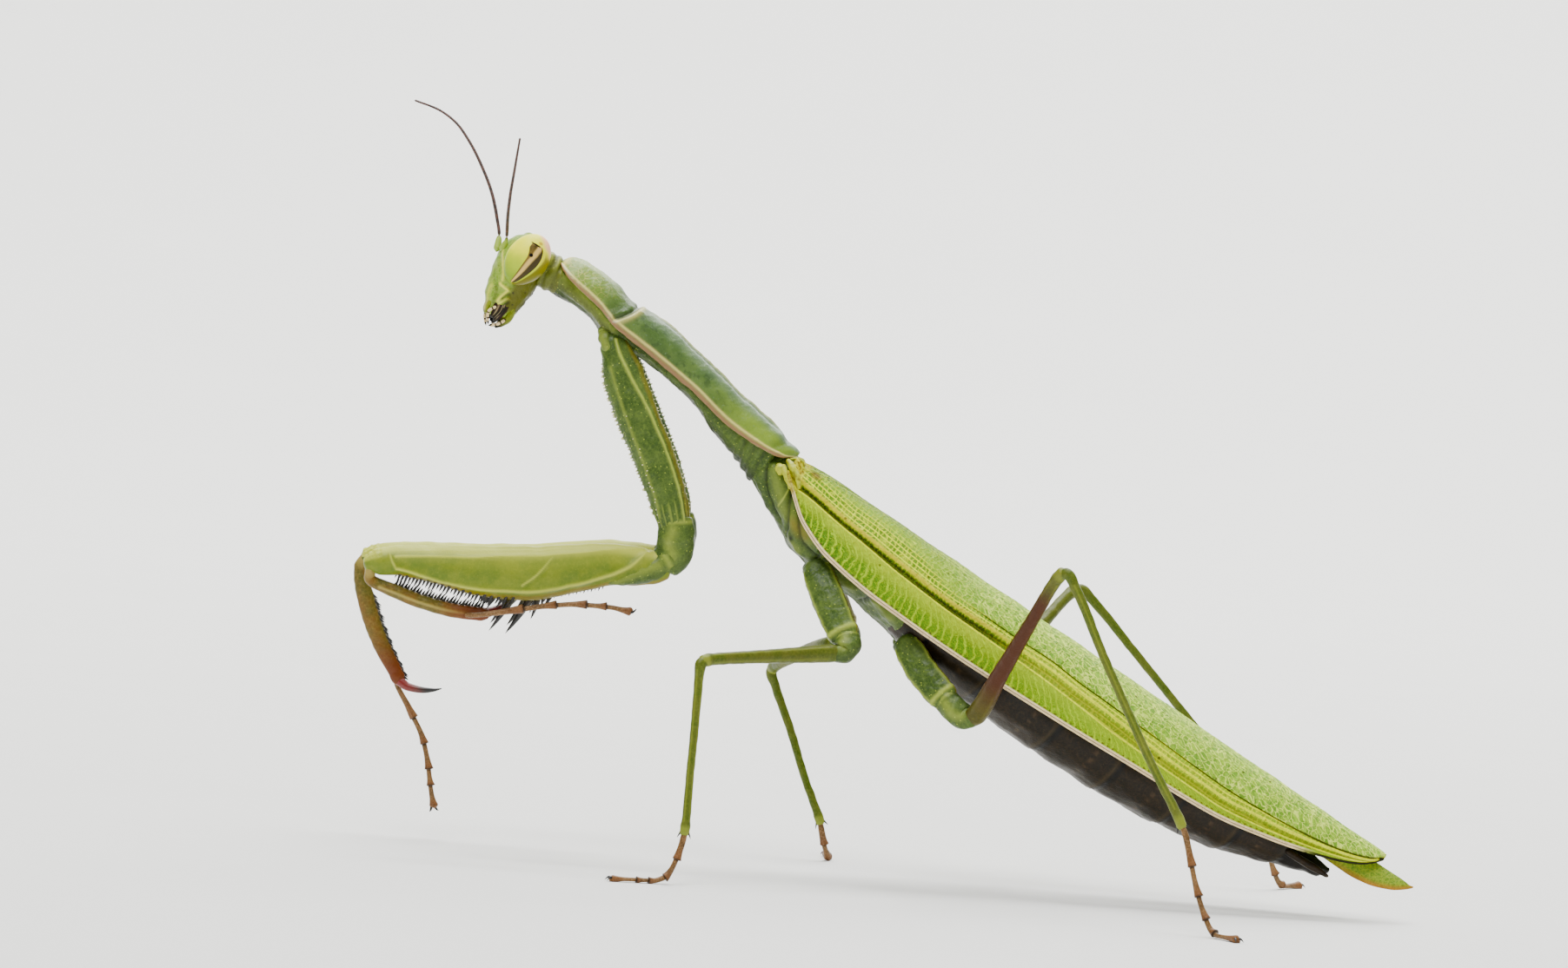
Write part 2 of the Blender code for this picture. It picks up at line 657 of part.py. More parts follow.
# ---- the head, in its own turned and tilted frame ----

def head_frame():
    turn = Matrix.Rotation(math.radians(HEAD_TURN), 4, "Z")
    lean = Matrix.Rotation(math.radians(HEAD_LEAN), 4, "Y")
    tilt = Matrix.Rotation(math.radians(-HEAD_TILT), 4, "X")
    return Matrix.Translation(HEAD_CENTRE) @ turn @ lean @ tilt


def head_point(left, forward, crown):
    """left, forward and crown are distances from the middle of the head."""
    return head_frame() @ Vector((-forward, -left, crown))


# crown-ward height, half width, depth in front and depth behind
HEAD = [
    (-2.90, 0.60, 0.78, 0.75),
    (-2.40, 0.85, 1.08, 1.15),
    (-1.40, 1.15, 1.40, 1.52),
    (-0.20, 1.60, 1.48, 1.82),
    (1.00, 2.00, 1.52, 1.80),
    (2.00, 2.00, 1.28, 1.45),
    (2.60, 1.60, 0.85, 1.05),
    (2.95, 0.90, 0.35, 0.55),
]
MOUTHPARTS = [
    (-2.97, 0.50, 0.50, 0.60),
    (-3.35, 0.50, 0.52, 0.55),
    (-3.75, 0.30, 0.40, 0.20),
]


def head_rings(stations, corners):
    rings = []
    for crown, half_width, front, back in stations:
        middle = head_point(0.0, 0.0, crown)
        across = head_point(1.0, 0.0, crown) - middle
        forward = head_point(0.0, 1.0, crown) - middle
        rings.append(oval(middle, across, forward, half_width, front, back, corners))
    return rings


def eye_shape(name, side, growth):
    shape = bmesh.new()
    bmesh.ops.create_uvsphere(shape, u_segments=14, v_segments=9, radius=1.0)
    size = EYE_SIZE + Vector((growth, growth, growth))
    place_in_head = Matrix.Translation(Vector((-EYE_PLACE.y, -side * EYE_PLACE.x, EYE_PLACE.z)))
    splay = Matrix.Rotation(math.radians(side * EYE_SPLAY), 4, "X")
    swing = Matrix.Rotation(math.radians(EYE_SWING), 4, "Y")
    scale = Matrix.Diagonal((size.y, size.x, size.z, 1.0))
    shape.transform(place_in_head @ swing @ splay @ scale)
    shape.transform(head_frame())
    shape.transform(Matrix.Translation(-HEAD_CENTRE))
    shape.transform(Matrix.Scale(MM, 4))
    mesh = bpy.data.meshes.new(name)
    shape.to_mesh(mesh)
    shape.free()
    return mesh


def add_head():
    head = skin("head", head_rings(HEAD, 18), GREEN)
    skin("mouthparts", head_rings(MOUTHPARTS, 8), BROWN)
    for side, suffix in ((1, "left"), (-1, "right")):
        place(f"eye_{suffix}", eye_shape(f"eye_{suffix}", side, 0.0), HEAD_CENTRE, LEAF, 0.3)
        socket = bpy.data.objects.new(f"socket_{suffix}", eye_shape(f"socket_{suffix}", side, GAP))
        socket.location = HEAD_CENTRE * MM
        socket.parent = stance
        socket.hide_render = True
        socket.display_type = "WIRE"
        cutters.objects.link(socket)
        cut = head.modifiers.new(f"socket_{suffix}", "BOOLEAN")
        cut.operation = "DIFFERENCE"
        cut.object = socket


ANTENNA_LEFT = [
    (-20.32, -0.95, 42.35), (-20.33, -1.60, 43.60), (-20.25, -2.60, 45.20), (-20.05, -3.80, 47.00),
    (-19.80, -5.20, 49.20),
]
ANTENNA_RIGHT = [
    (-20.88, 0.15, 42.35), (-21.15, 0.60, 43.70), (-21.65, 1.10, 45.35), (-22.60, 1.80, 47.30),
    (-23.55, 2.40, 48.80), (-24.60, 3.10, 50.00), (-25.95, 3.90, 50.80), (-27.50, 4.80, 51.25),
]


def add_antennae():
    for name, route in (("antenna_left", ANTENNA_LEFT), ("antenna_right", ANTENNA_RIGHT)):
        curve = bpy.data.curves.new(name, "CURVE")
        curve.dimensions = "3D"
        curve.bevel_depth = 0.30 * MM
        curve.bevel_resolution = 1
        curve.use_fill_caps = True
        line = curve.splines.new("POLY")
        line.points.add(len(route) - 1)
        origin = Vector(route[0])
        for k, (point, place_on_route) in enumerate(zip(line.points, route)):
            point.co = (*((Vector(place_on_route) - origin) * MM), 1.0)
            point.radius = 1.0 - 0.17 * k / (len(route) - 1)
        feeler = bpy.data.objects.new(name, curve)
        feeler.location = origin * MM
        feeler.parent = stance
        curve.materials.append(finish_for(name, DARK_BROWN, 0.5))
        animal.objects.link(feeler)


empty_the_scene()
animal = make_collection("praying_mantis")
cutters = make_collection("cutters")
stance = bpy.data.objects.new("stance", None)
stance.location = (-CENTRE_X * MM, -CENTRE_Y * MM, 0.0)
animal.objects.link(stance)
add_trunk()
add_head()
add_antennae()
add_wings()
add_forelegs()
add_walking_legs()
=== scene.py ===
import math

import bpy
import numpy as np
from mathutils import Matrix, Vector


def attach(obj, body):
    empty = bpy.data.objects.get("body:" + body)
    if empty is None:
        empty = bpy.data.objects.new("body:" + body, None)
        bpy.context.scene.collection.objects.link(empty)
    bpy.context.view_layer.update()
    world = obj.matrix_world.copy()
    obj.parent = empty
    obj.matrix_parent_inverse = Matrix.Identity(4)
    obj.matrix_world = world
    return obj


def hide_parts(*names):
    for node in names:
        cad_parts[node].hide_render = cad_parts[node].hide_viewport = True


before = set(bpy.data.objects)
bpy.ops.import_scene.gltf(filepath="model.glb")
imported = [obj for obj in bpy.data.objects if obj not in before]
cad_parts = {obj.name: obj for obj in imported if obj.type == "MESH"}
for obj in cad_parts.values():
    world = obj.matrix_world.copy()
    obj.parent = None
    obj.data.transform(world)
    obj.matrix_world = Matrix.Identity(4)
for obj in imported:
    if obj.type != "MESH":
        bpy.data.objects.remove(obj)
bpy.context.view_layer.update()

# The tables are in millimetres, with x from head to tail, y to the animal's right and z up from
# the floor. The frame's origin lies under the middle of the animal.
standing = np.array((8.07, -1.0, 0.0))
metre = 0.001


def inFrame(points):
    return (np.asarray(points, float) - standing) * metre


def curveThrough(table, where):
    # each row holds a knot and its values; the curve never swings past a value
    table = np.asarray(table, float)
    knots, values = table[:, 0], table[:, 1:]
    gaps = np.diff(knots)[:, None]
    slopes = np.diff(values, axis=0) / gaps
    before, after = slopes[:-1], slopes[1:]
    agree = before * after > 0
    bends = np.where(agree, 2.0 * before * after / np.where(agree, before + after, 1.0), 0.0)
    tangents = np.vstack([slopes[:1], bends, slopes[-1:]])
    where = np.clip(np.asarray(where, float), knots[0], knots[-1])
    low = np.clip(np.searchsorted(knots, where, side="right") - 1, 0, len(knots) - 2)
    gap = gaps[low]
    share = ((where - knots[low])[..., None]) / gap
    rest = 1.0 - share
    result = (
        values[low] * rest * rest * (1.0 + 2.0 * share)
        + values[low + 1] * share * share * (3.0 - 2.0 * share)
        + tangents[low] * gap * share * rest * rest
        - tangents[low + 1] * gap * share * share * rest
    )
    return result[..., 0] if result.shape[-1] == 1 else result


def soften(value, low, high):
    share = np.clip((np.asarray(value, float) - low) / (high - low), 0.0, 1.0)
    return share * share * (3.0 - 2.0 * share)


def hump(value, middle, width):
    # 1 at the middle, falling off to both sides
    return np.exp(-(((value - middle) / width) ** 2))


def unit(vectors):
    return vectors / np.maximum(np.linalg.norm(vectors, axis=-1, keepdims=True), 1e-9)


def reachAlong(points):
    # the way along the points from the first one to each
    return np.concatenate([[0.0], np.cumsum(np.linalg.norm(np.diff(points, axis=0), axis=1))])


def unevenness(points, size, seed):
    # smooth lumps of about that size in mm, between -1 and 1
    chance = np.random.default_rng(seed)
    total = np.zeros(points.shape[:-1])
    for _ in range(9):
        wave = unit(chance.normal(size=3)) * (2 * math.pi / size) * chance.uniform(0.6, 1.5)
        total += np.sin(points @ wave + chance.uniform(0, 2 * math.pi))
    return total / 4.5


domeTurns = (25.0, 48.0, 68.0, 83.0)  # degrees round a rounded end


class Tube:
    # a closed tube of rings; ruler runs along it, unitLength is the ruler's unit in mm and
    # angle is in degrees around it, from its outer side towards its upper side
    def __init__(self, points, ruler, angle, finish, bulges=(0.3, 0.3), unitLength=1.0):
        rings, marks = list(points), list(ruler)
        for bulge, end, inner in ((bulges[0], 0, 1), (bulges[1], -1, -2)):
            ring = points[end]
            middle = ring.mean(axis=0)
            heading = unit(middle - points[inner].mean(axis=0))
            for turn in np.radians(domeTurns):
                dome = middle + heading * bulge * math.sin(turn) + (ring - middle) * math.cos(turn)
                rings.insert(0 if end == 0 else len(rings), dome)
                marks.insert(0 if end == 0 else len(marks), ruler[end])
        self.points = np.array(rings)
        self.ruler = np.array(marks)[:, None] + np.zeros(self.points.shape[:2])
        self.angle = np.asarray(angle)[None, :] + np.zeros(self.points.shape[:2])
        self.finish = finish
        self.unitLength = unitLength
        middles = self.points.mean(axis=1, keepdims=True)
        self.radius = np.linalg.norm(self.points - middles, axis=2).mean(axis=1, keepdims=True)
        self.height = np.zeros(self.points.shape[:2])
        self.marks = {}

    def stroke(self, route, width):
        # 1 on a line through the route's ruler and angle pairs, fading to 0 at about twice its width
        route = np.asarray(route, float)
        steps = np.linspace(0, len(route) - 1, 4 * (len(route) - 1) + 1)
        line = curveThrough(np.column_stack([np.arange(len(route)), route]), steps)
        nearest = np.full(self.points.shape[:2], 1e9)
        for start, end in zip(line, line[1:]):
            x = (self.ruler - start[0]) * self.unitLength
            y = np.radians((self.angle - start[1] + 180.0) % 360.0 - 180.0) * self.radius
            stepX = (end[0] - start[0]) * self.unitLength
            stepY = math.radians(end[1] - start[1]) * self.radius
            share = np.clip((x * stepX + y * stepY) / (stepX ** 2 + stepY ** 2 + 1e-12), 0, 1)
            nearest = np.minimum(nearest, (x - share * stepX) ** 2 + (y - share * stepY) ** 2)
        return np.exp(-nearest / width ** 2)

    def spot(self, ruler, angle, width):
        return self.stroke([(ruler, angle), (ruler + 1e-4, angle)], width)

    def raiseBy(self, height):
        self.height = self.height + height

    def mark(self, name, amount):
        before = self.marks.get(name, np.zeros(self.points.shape[:2]))
        self.marks[name] = np.clip(np.maximum(before, amount), 0.0, 1.0)

    def roughen(self, *lumps):
        for height, size, seed in lumps:
            self.raiseBy(height * unevenness(self.points, size, seed))

    def draw(self, mark, *rows):
        # each row holds a route, its width, how far it rises and how strongly it is marked
        for route, width, height, amount in rows:
            line = self.stroke(route, width)
            self.raiseBy(height * line)
            self.mark(mark, amount * line)

    def shaped(self):
        along = np.gradient(self.points, axis=0)
        around = np.roll(self.points, -1, axis=1) - np.roll(self.points, 1, axis=1)
        normals = unit(np.cross(along, around))
        outwards = self.points - self.points.mean(axis=1, keepdims=True)
        if (normals * outwards).sum() < 0:
            normals = -normals
        return self.points + normals * self.height[..., None]

    def build(self, name, finishes):
        points = self.shaped()
        rings, sectors = points.shape[:2]
        corners = np.vstack([points.reshape(-1, 3), points[0].mean(axis=0), points[-1].mean(axis=0)])
        marks = {
            mark: np.append(values.ravel(), (values[0].mean(), values[-1].mean()))
            for mark, values in self.marks.items()
        }
        thing = addMesh(name, corners, ringFaces(rings, sectors), marks, *finishes.values())
        own = np.full(len(thing.data.polygons), list(finishes).index(self.finish), np.int32)
        thing.data.polygons.foreach_set("material_index", own)
        return thing


def ringFaces(rings, sectors):
    # quads between the rings, and fans to a point at either end
    index = np.arange(rings * sectors).reshape(rings, sectors)
    following = np.roll(index, -1, axis=1)
    quads = np.stack([index[:-1], following[:-1], following[1:], index[1:]], axis=-1)
    first, last = rings * sectors, rings * sectors + 1
    fans = [(first, b, a) for a, b in zip(index[0].tolist(), following[0].tolist())]
    fans += [(last, a, b) for a, b in zip(index[-1].tolist(), following[-1].tolist())]
    return quads.reshape(-1, 4).tolist() + fans


def signedVolume(mesh):
    mesh.calc_loop_triangles()
    corners = np.zeros(len(mesh.vertices) * 3)
    mesh.vertices.foreach_get("co", corners)
    triangles = np.zeros(len(mesh.loop_triangles) * 3, np.int32)
    mesh.loop_triangles.foreach_get("vertices", triangles)
    a, b, c = corners.reshape(-1, 3)[triangles.reshape(-1, 3)].transpose(1, 0, 2)
    return (a * np.cross(b, c)).sum()


def addObject(name, data):
    thing = bpy.data.objects.new(name, data)
    bpy.context.scene.collection.objects.link(thing)
    return thing


def addMesh(name, corners, faces, marks, *finishes):
    # corners are in mm; each mark holds a number for every corner
    mesh = bpy.data.meshes.new(name)
    mesh.from_pydata(inFrame(corners).tolist(), [], faces)
    for mark, values in marks.items():
        layer = mesh.attributes.new(mark, "FLOAT", "POINT")
        layer.data.foreach_set("value", np.asarray(values, np.float32))
    for finish in finishes:
        mesh.materials.append(finish)
    if signedVolume(mesh) < 0:
        mesh.flip_normals()
    mesh.shade_smooth()
    return addObject(name, mesh)


def keep(piece, slot, *nodes):
    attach(piece, "root")
    if nodes:
        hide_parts(*nodes)


def fuse(pieces):
    # joins closed meshes two by two until one skin is left
    while len(pieces) > 1:
        joined = []
        for one, other in zip(pieces[::2], pieces[1::2]):
            union = one.modifiers.new("union", "BOOLEAN")
            union.operation = "UNION"
            union.solver = "MANIFOLD"
            union.object = other
            graph = bpy.context.evaluated_depsgraph_get()
            mesh = bpy.data.meshes.new_from_object(
                one.evaluated_get(graph), preserve_all_data_layers=True, depsgraph=graph
            )
            one.modifiers.clear()
            one.data = mesh
            bpy.data.objects.remove(other)
            joined.append(one)
        pieces = joined + pieces[len(joined) * 2:]
    return pieces[0]


def fillMarks(mesh):
    # points made where two surfaces meet take their neighbours' marks
    count = len(mesh.vertices)
    known = np.zeros(count, np.float32)
    mesh.attributes["known"].data.foreach_get("value", known)
    edges = np.zeros(len(mesh.edges) * 2, np.int32)
    mesh.edges.foreach_get("vertices", edges)
    a, b = edges.reshape(-1, 2).T
    known = (known > 0.5).astype(float)
    values = {}
    for name in markNames:
        values[name] = np.zeros(count, np.float32)
        mesh.attributes[name].data.foreach_get("value", values[name])
    for _ in range(3):
        weight = np.zeros(count)
        np.add.at(weight, a, known[b])
        np.add.at(weight, b, known[a])
        fresh = (known < 0.5) & (weight > 0)
        for name, value in values.items():
            total = np.zeros(count)
            np.add.at(total, a, value[b] * known[b])
            np.add.at(total, b, value[a] * known[a])
            value[fresh] = (total[fresh] / weight[fresh]).astype(np.float32)
        known[fresh] = 1.0
    for name, value in values.items():
        mesh.attributes[name].data.foreach_set("value", value.astype(np.float32))


def limbTube(stations, rings, sectors, outer, finish, bulges=(0.3, 0.3)):
    # stations hold x, y, z, half width and half depth; outer is -1 on a left limb, 1 on a right one
    stations = np.asarray(stations, float)
    reach = reachAlong(stations[:, :3])
    share = np.linspace(0.0, 1.0, rings)
    path = curveThrough(np.column_stack([reach, stations]), share * reach[-1])
    middles = path[:, :3]
    headings = unit(np.gradient(middles, axis=0))
    across = np.zeros_like(middles)
    side = np.array((0.0, 1.0, 0.0))
    for k, heading in enumerate(headings):
        side = unit(side - heading * (side @ heading))
        across[k] = side
    up = np.cross(across, headings)
    angle = np.arange(sectors) * 360.0 / sectors
    outwards = np.cos(np.radians(angle))[None, :, None] * across[:, None] * outer
    upwards = np.sin(np.radians(angle))[None, :, None] * up[:, None]
    points = (
        middles[:, None] + outwards * path[:, 3][:, None, None] + upwards * path[:, 4][:, None, None]
    )
    return Tube(points, share, (angle + 180.0) % 360.0 - 180.0, finish, bulges, reach[-1])


class Wire:
    # a shader socket; arithmetic on it adds Math nodes
    def __init__(self, finish, socket):
        self.finish = finish
        self.socket = socket

    def maths(self, operation, *others):
        return self.finish.node("ShaderNodeMath", {"operation": operation}, dict(enumerate((self, *others))))

    def __add__(self, other):
        return self.maths("ADD", other)

    def __sub__(self, other):
        return self.maths("SUBTRACT", other)

    def __rsub__(self, other):
        return self.finish.node("ShaderNodeMath", {"operation": "SUBTRACT"}, {0: other, 1: self})

    def __mul__(self, other):
        return self.maths("MULTIPLY", other)

    def __truediv__(self, other):
        return self.maths("DIVIDE", other)

    def __pow__(self, other):
        return self.maths("POWER", other)

    __radd__ = __add__
    __rmul__ = __mul__

    def between(self, low, high):
        # rises smoothly from 0 at low to 1 at high
        return self.finish.node(
            "ShaderNodeMapRange", {"interpolation_type": "SMOOTHSTEP"},
            {"Value": self, "From Min": low, "From Max": high},
        )

    def lines(self, width):
        # 1 at every whole number, falling to 0 at that share of a unit on either side
        away = (self.maths("FRACT") - 0.5).maths("ABSOLUTE")
        return (0.5 - away).between(width, 0.0)


class Finish:
    # one material; its constants are set on the shader itself
    def __init__(self, name, constants):
        self.material = bpy.data.materials.new(name)
        self.material.use_nodes = True
        self.tree = self.material.node_tree
        self.shader = self.tree.nodes["Principled BSDF"]
        for socket, value in constants.items():
            self.shader.inputs[socket].default_value = value
        place = self.node("ShaderNodeTexCoord", {}, {}, "Object")
        self.place = self.node(
            "ShaderNodeVectorMath", {"operation": "SCALE"}, {"Vector": place, "Scale": 1.0 / metre}
        )

    def node(self, kind, settings, sockets, output=0):
        made = self.tree.nodes.new(kind)
        for name, value in settings.items():
            if name == "stops":
                ramp = made.color_ramp.elements
                while len(ramp) < len(value):
                    ramp.new(0.5)
                for stop, (position, colour) in zip(ramp, value):
                    stop.position = position
                    stop.color = colour
            else:
                setattr(made, name, value)
        for name, value in sockets.items():
            if isinstance(value, Wire):
                self.tree.links.new(value.socket, made.inputs[name])
            else:
                made.inputs[name].default_value = value
        return Wire(self, made.outputs[output])

    def mark(self, name):
        return self.node("ShaderNodeAttribute", {"attribute_name": name}, {}, "Fac")

    def noise(self, scale, detail=3.0):
        sockets = {"Vector": self.place, "Scale": scale, "Detail": detail}
        return self.node("ShaderNodeTexNoise", {}, sockets, "Fac")

    def cells(self, scale, feature="F1", place=None):
        sockets = {"Vector": place or self.place, "Scale": scale}
        return self.node("ShaderNodeTexVoronoi", {"feature": feature}, sockets, "Distance")

    def layers(self, look, colour, *masks):
        # lays colours over the first one, each through its mask; a name stands for a look's colour
        colour = look[colour] if isinstance(colour, str) else colour
        for mask, tone in masks:
            tone = look[tone] if isinstance(tone, str) else tone
            colour = self.node("ShaderNodeMix", {"data_type": "RGBA"}, {0: mask, 6: colour, 7: tone}, 2)
        return colour

    def bump(self, height, microns, strength=1.0, onto=None):
        sockets = {"Height": height, "Distance": microns * 1e-6, "Strength": strength}
        if onto:
            sockets["Normal"] = onto
        return self.node("ShaderNodeBump", {}, sockets)

    def feed(self, colour, rough=None, normal=None):
        for name, wire in (("Base Color", colour), ("Roughness", rough), ("Normal", normal)):
            if wire:
                self.tree.links.new(wire.socket, self.shader.inputs[name])
        return self.material


def tint(red, green, blue):
    # a colour as the render should show it, from 0 to 255; the view transform lifts dark colours
    # and pales strong ones, so it is made darker and stronger here
    grey = 0.3 * red + 0.59 * green + 0.11 * blue
    channels = []
    for value in (red, green, blue):
        share = (min(max(grey + 1.45 * (value - grey), 1.0), 255.0) / 255.0) ** 1.35
        channels.append(share / 12.92 if share <= 0.04045 else ((share + 0.055) / 1.055) ** 2.4)
    return (*channels, 1.0)

markNames = ("known", "pale", "dark", "warm")


def cuticle(name, look):
    finish = Finish(name, {"Specular IOR Level": 0.24, "IOR": 1.45})
    broad = finish.noise(look["mottleScale"], 4.0)
    fine = finish.noise(look["mottleScale"] * 6.0)
    pits = finish.cells(look["pitScale"])
    net = 1.0 - finish.cells(look["pitScale"] * 0.55, "DISTANCE_TO_EDGE").between(0.02, 0.14)
    specks = 1.0 - finish.cells(3.1).between(0.08, 0.16)
    colour = finish.layers(
        look, "base", (broad.between(0.36, 0.64), "second"),
        (fine.between(0.45, 0.75) * look["fleck"], "fleckColour"), (net * look["net"], "fleckColour"),
        (specks * look["specks"], "pale"),
        *((finish.mark(name), name) for name in ("pale", "warm", "dark")),
    )
    rough = look["roughness"] + (broad - 0.5) * 0.25 + (fine - 0.5) * 0.2
    normal = finish.bump(fine, look["grainDepth"], 0.7, finish.bump(pits, look["pitDepth"], 0.8))
    return finish.feed(colour, rough, normal)


greenLook = {
    "base": tint(85, 101, 63), "second": tint(104, 118, 76), "fleckColour": tint(142, 156, 100),
    "fleck": 0.35, "net": 0.16, "specks": 0.75, "pale": tint(196, 204, 132), "warm": tint(150, 134, 40),
    "dark": tint(34, 44, 22), "mottleScale": 0.7, "pitScale": 7.0, "pitDepth": 14.0,
    "grainDepth": 14.0, "roughness": 0.40,
}
headLook = dict(
    greenLook, base=tint(160, 176, 104), second=tint(140, 164, 78), fleckColour=tint(204, 212, 150),
    # warm here is the cheeks' olive, partly painted shade
    pale=tint(240, 238, 150), warm=tint(110, 108, 8), dark=tint(36, 36, 8), mottleScale=0.9,
    specks=0.2, net=0.22,
)
femurLook = dict(
    greenLook, base=tint(137, 146, 73), second=tint(119, 133, 66), fleckColour=tint(162, 168, 94),
    # warm is the underside's olive strip, partly painted shade
    fleck=0.3, net=0.1, specks=0.1, pale=tint(216, 218, 142), warm=tint(140, 124, 34),
    dark=tint(52, 58, 26), mottleScale=0.8, grainDepth=9.0,
)
tibiaLook = dict(
    greenLook, base=tint(106, 103, 60), second=tint(124, 104, 60), fleckColour=tint(160, 146, 98),
    specks=0.1, pale=tint(200, 190, 140), warm=tint(112, 66, 34), dark=tint(40, 28, 14),
)
legLook = dict(
    greenLook, base=tint(98, 110, 50), second=tint(112, 118, 62), fleckColour=tint(140, 144, 88),
    specks=0.15, pale=tint(172, 178, 104), warm=tint(84, 54, 0), dark=tint(40, 40, 20),
    mottleScale=0.9,
)
tarsusLook = dict(
    greenLook, base=tint(142, 120, 92), second=tint(112, 94, 68), fleckColour=tint(186, 164, 140),
    specks=0.2, pale=tint(204, 180, 152), warm=tint(128, 96, 70), dark=tint(40, 30, 20),
    mottleScale=1.4,
)
bellyLook = dict(
    greenLook, base=tint(32, 25, 10), second=tint(46, 37, 18), fleckColour=tint(76, 64, 40),
    fleck=0.4, specks=0.2, pale=tint(104, 94, 70), warm=tint(112, 98, 78), dark=tint(2, 2, 1),
)
skinFinishes = {
    "green": cuticle("greenCuticle", greenLook),
    "head": cuticle("headCuticle", headLook),
    "femur": cuticle("forelegCuticle", femurLook),
    "tibia": cuticle("foretibiaCuticle", tibiaLook),
    "leg": cuticle("oliveLegCuticle", legLook),
    "tarsus": cuticle("tarsusCuticle", tarsusLook),
    "belly": cuticle("bellyCuticle", bellyLook),
}
print("finishes ready")

frontAxis = ((-16.4, 40.2), 35.6)  # from the neck to the end of the pronotum: x, z and slope
rearAxis = ((1.0, 28.4), 29.8)  # from the wing bases to the wing tips


def onAxis(axis, along, side, height):
    (x, z), slope = axis
    cosine, sine = math.cos(math.radians(slope)), math.sin(math.radians(slope))
    along, side, height = np.broadcast_arrays(along, side, height)
    return np.stack([x + along * cosine + height * sine, side, z - along * sine + height * cosine], -1)


def onFront(along, side, height):
    return onAxis(frontAxis, along, side, height)


def onRear(along, side, height):
    return onAxis(rearAxis, along, side, height)


def trunkTube(place, rows, rings, sectors, finish, bulges=(0.3, 0.3), shape=None):
    # rows hold the way along, the height of the widest level, half width, rise above it and drop
    # below it; place turns along, side and height into points
    rows = np.asarray(rows, float)
    along = np.linspace(rows[0, 0], rows[-1, 0], rings)
    level, width, rise, drop = curveThrough(rows, along).T
    turn = np.arange(sectors) * 2 * math.pi / sectors
    sine, cosine = np.sin(turn)[None], np.cos(turn)[None]
    height = np.where(sine > 0, rise[:, None], drop[:, None]) * sine
    side = width[:, None] * cosine
    if shape:
        side = shape(turn[None], side)
    points = place(along[:, None], side, level[:, None] + height)
    angle = np.degrees(np.arctan2(np.sin(turn), np.abs(np.cos(turn))))
    return Tube(points, along, angle, finish, bulges)


pronotumRows = [
    (-0.45, 0.55, 0.70, 0.35, 0.10),
    (0.05, 0.32, 1.45, 1.15, 0.12),
    (0.85, 0.15, 1.95, 1.62, 0.12),
    (3.20, 0.00, 2.35, 1.98, 0.12),
    (5.35, -0.34, 2.75, 2.16, 0.12),
    (8.00, -0.30, 2.20, 2.38, 0.12),
    (11.60, -0.28, 1.80, 2.14, 0.12),
    (15.30, -0.55, 1.75, 2.12, 0.12),
    (17.70, -0.35, 1.75, 1.85, 0.12),
    (19.70, 0.15, 1.35, 1.15, 0.12),
    (20.45, 0.70, 0.55, 0.45, 0.10),
]
prothoraxRows = [
    (0.10, 0.08, 1.15, 0.30, 1.58),
    (3.30, -0.14, 1.95, 0.60, 0.92),
    (4.40, -0.34, 2.15, 0.80, 1.00),
    (5.70, -0.50, 2.25, 0.80, 1.28),
    (6.90, -0.48, 2.00, 0.80, 0.90),
    (8.00, -0.44, 1.85, 0.80, 0.50),
    (11.60, -0.42, 1.55, 0.80, 0.45),
    (15.00, -0.66, 1.50, 0.80, 0.95),
    (17.30, -0.52, 1.60, 0.70, 1.55),
    (19.10, -0.14, 1.35, 0.50, 2.45),
]
neckRows = [
    (-1.75, -0.20, 0.80, 0.62, 1.15),
    (-1.30, -0.25, 1.00, 1.00, 1.35),
    (-0.60, -0.30, 1.20, 1.15, 1.42),
    (0.10, -0.10, 1.22, 0.45, 1.40),
    (0.60, 0.10, 1.20, 0.35, 1.45),
]
thoraxRows = [
    (-2.60, -1.20, 1.00, 0.60, 1.30),
    (-1.88, -1.30, 1.15, 0.85, 1.60),
    (-0.90, -1.40, 1.45, 1.35, 2.00),
    (0.60, -1.60, 1.75, 1.30, 2.55),
    (2.60, -2.50, 2.20, 1.55, 2.65),
    (5.00, -3.00, 2.70, 1.80, 2.55),
    (9.00, -3.50, 3.00, 2.25, 2.25),
    (13.20, -4.05, 3.14, 2.80, 2.40),
]
abdomenRows = [
    (11.40, -3.95, 2.90, 2.50, 2.15),
    (13.50, -4.10, 3.20, 2.90, 2.42),
    (18.50, -4.50, 3.40, 3.35, 2.60),
    (24.40, -4.60, 3.40, 3.45, 2.70),
    (29.40, -4.50, 3.30, 3.30, 2.65),
    (34.30, -4.20, 2.95, 2.90, 2.45),
    (38.70, -3.75, 2.40, 2.20, 1.98),
    (42.36, -3.10, 1.50, 1.20, 1.34),
    (43.80, -2.95, 1.15, 0.72, 1.02),
    (44.80, -2.92, 0.92, 0.58, 0.62),
    (45.45, -2.92, 0.76, 0.48, 0.58),
    (45.75, -2.85, 0.45, 0.36, 0.30),
]


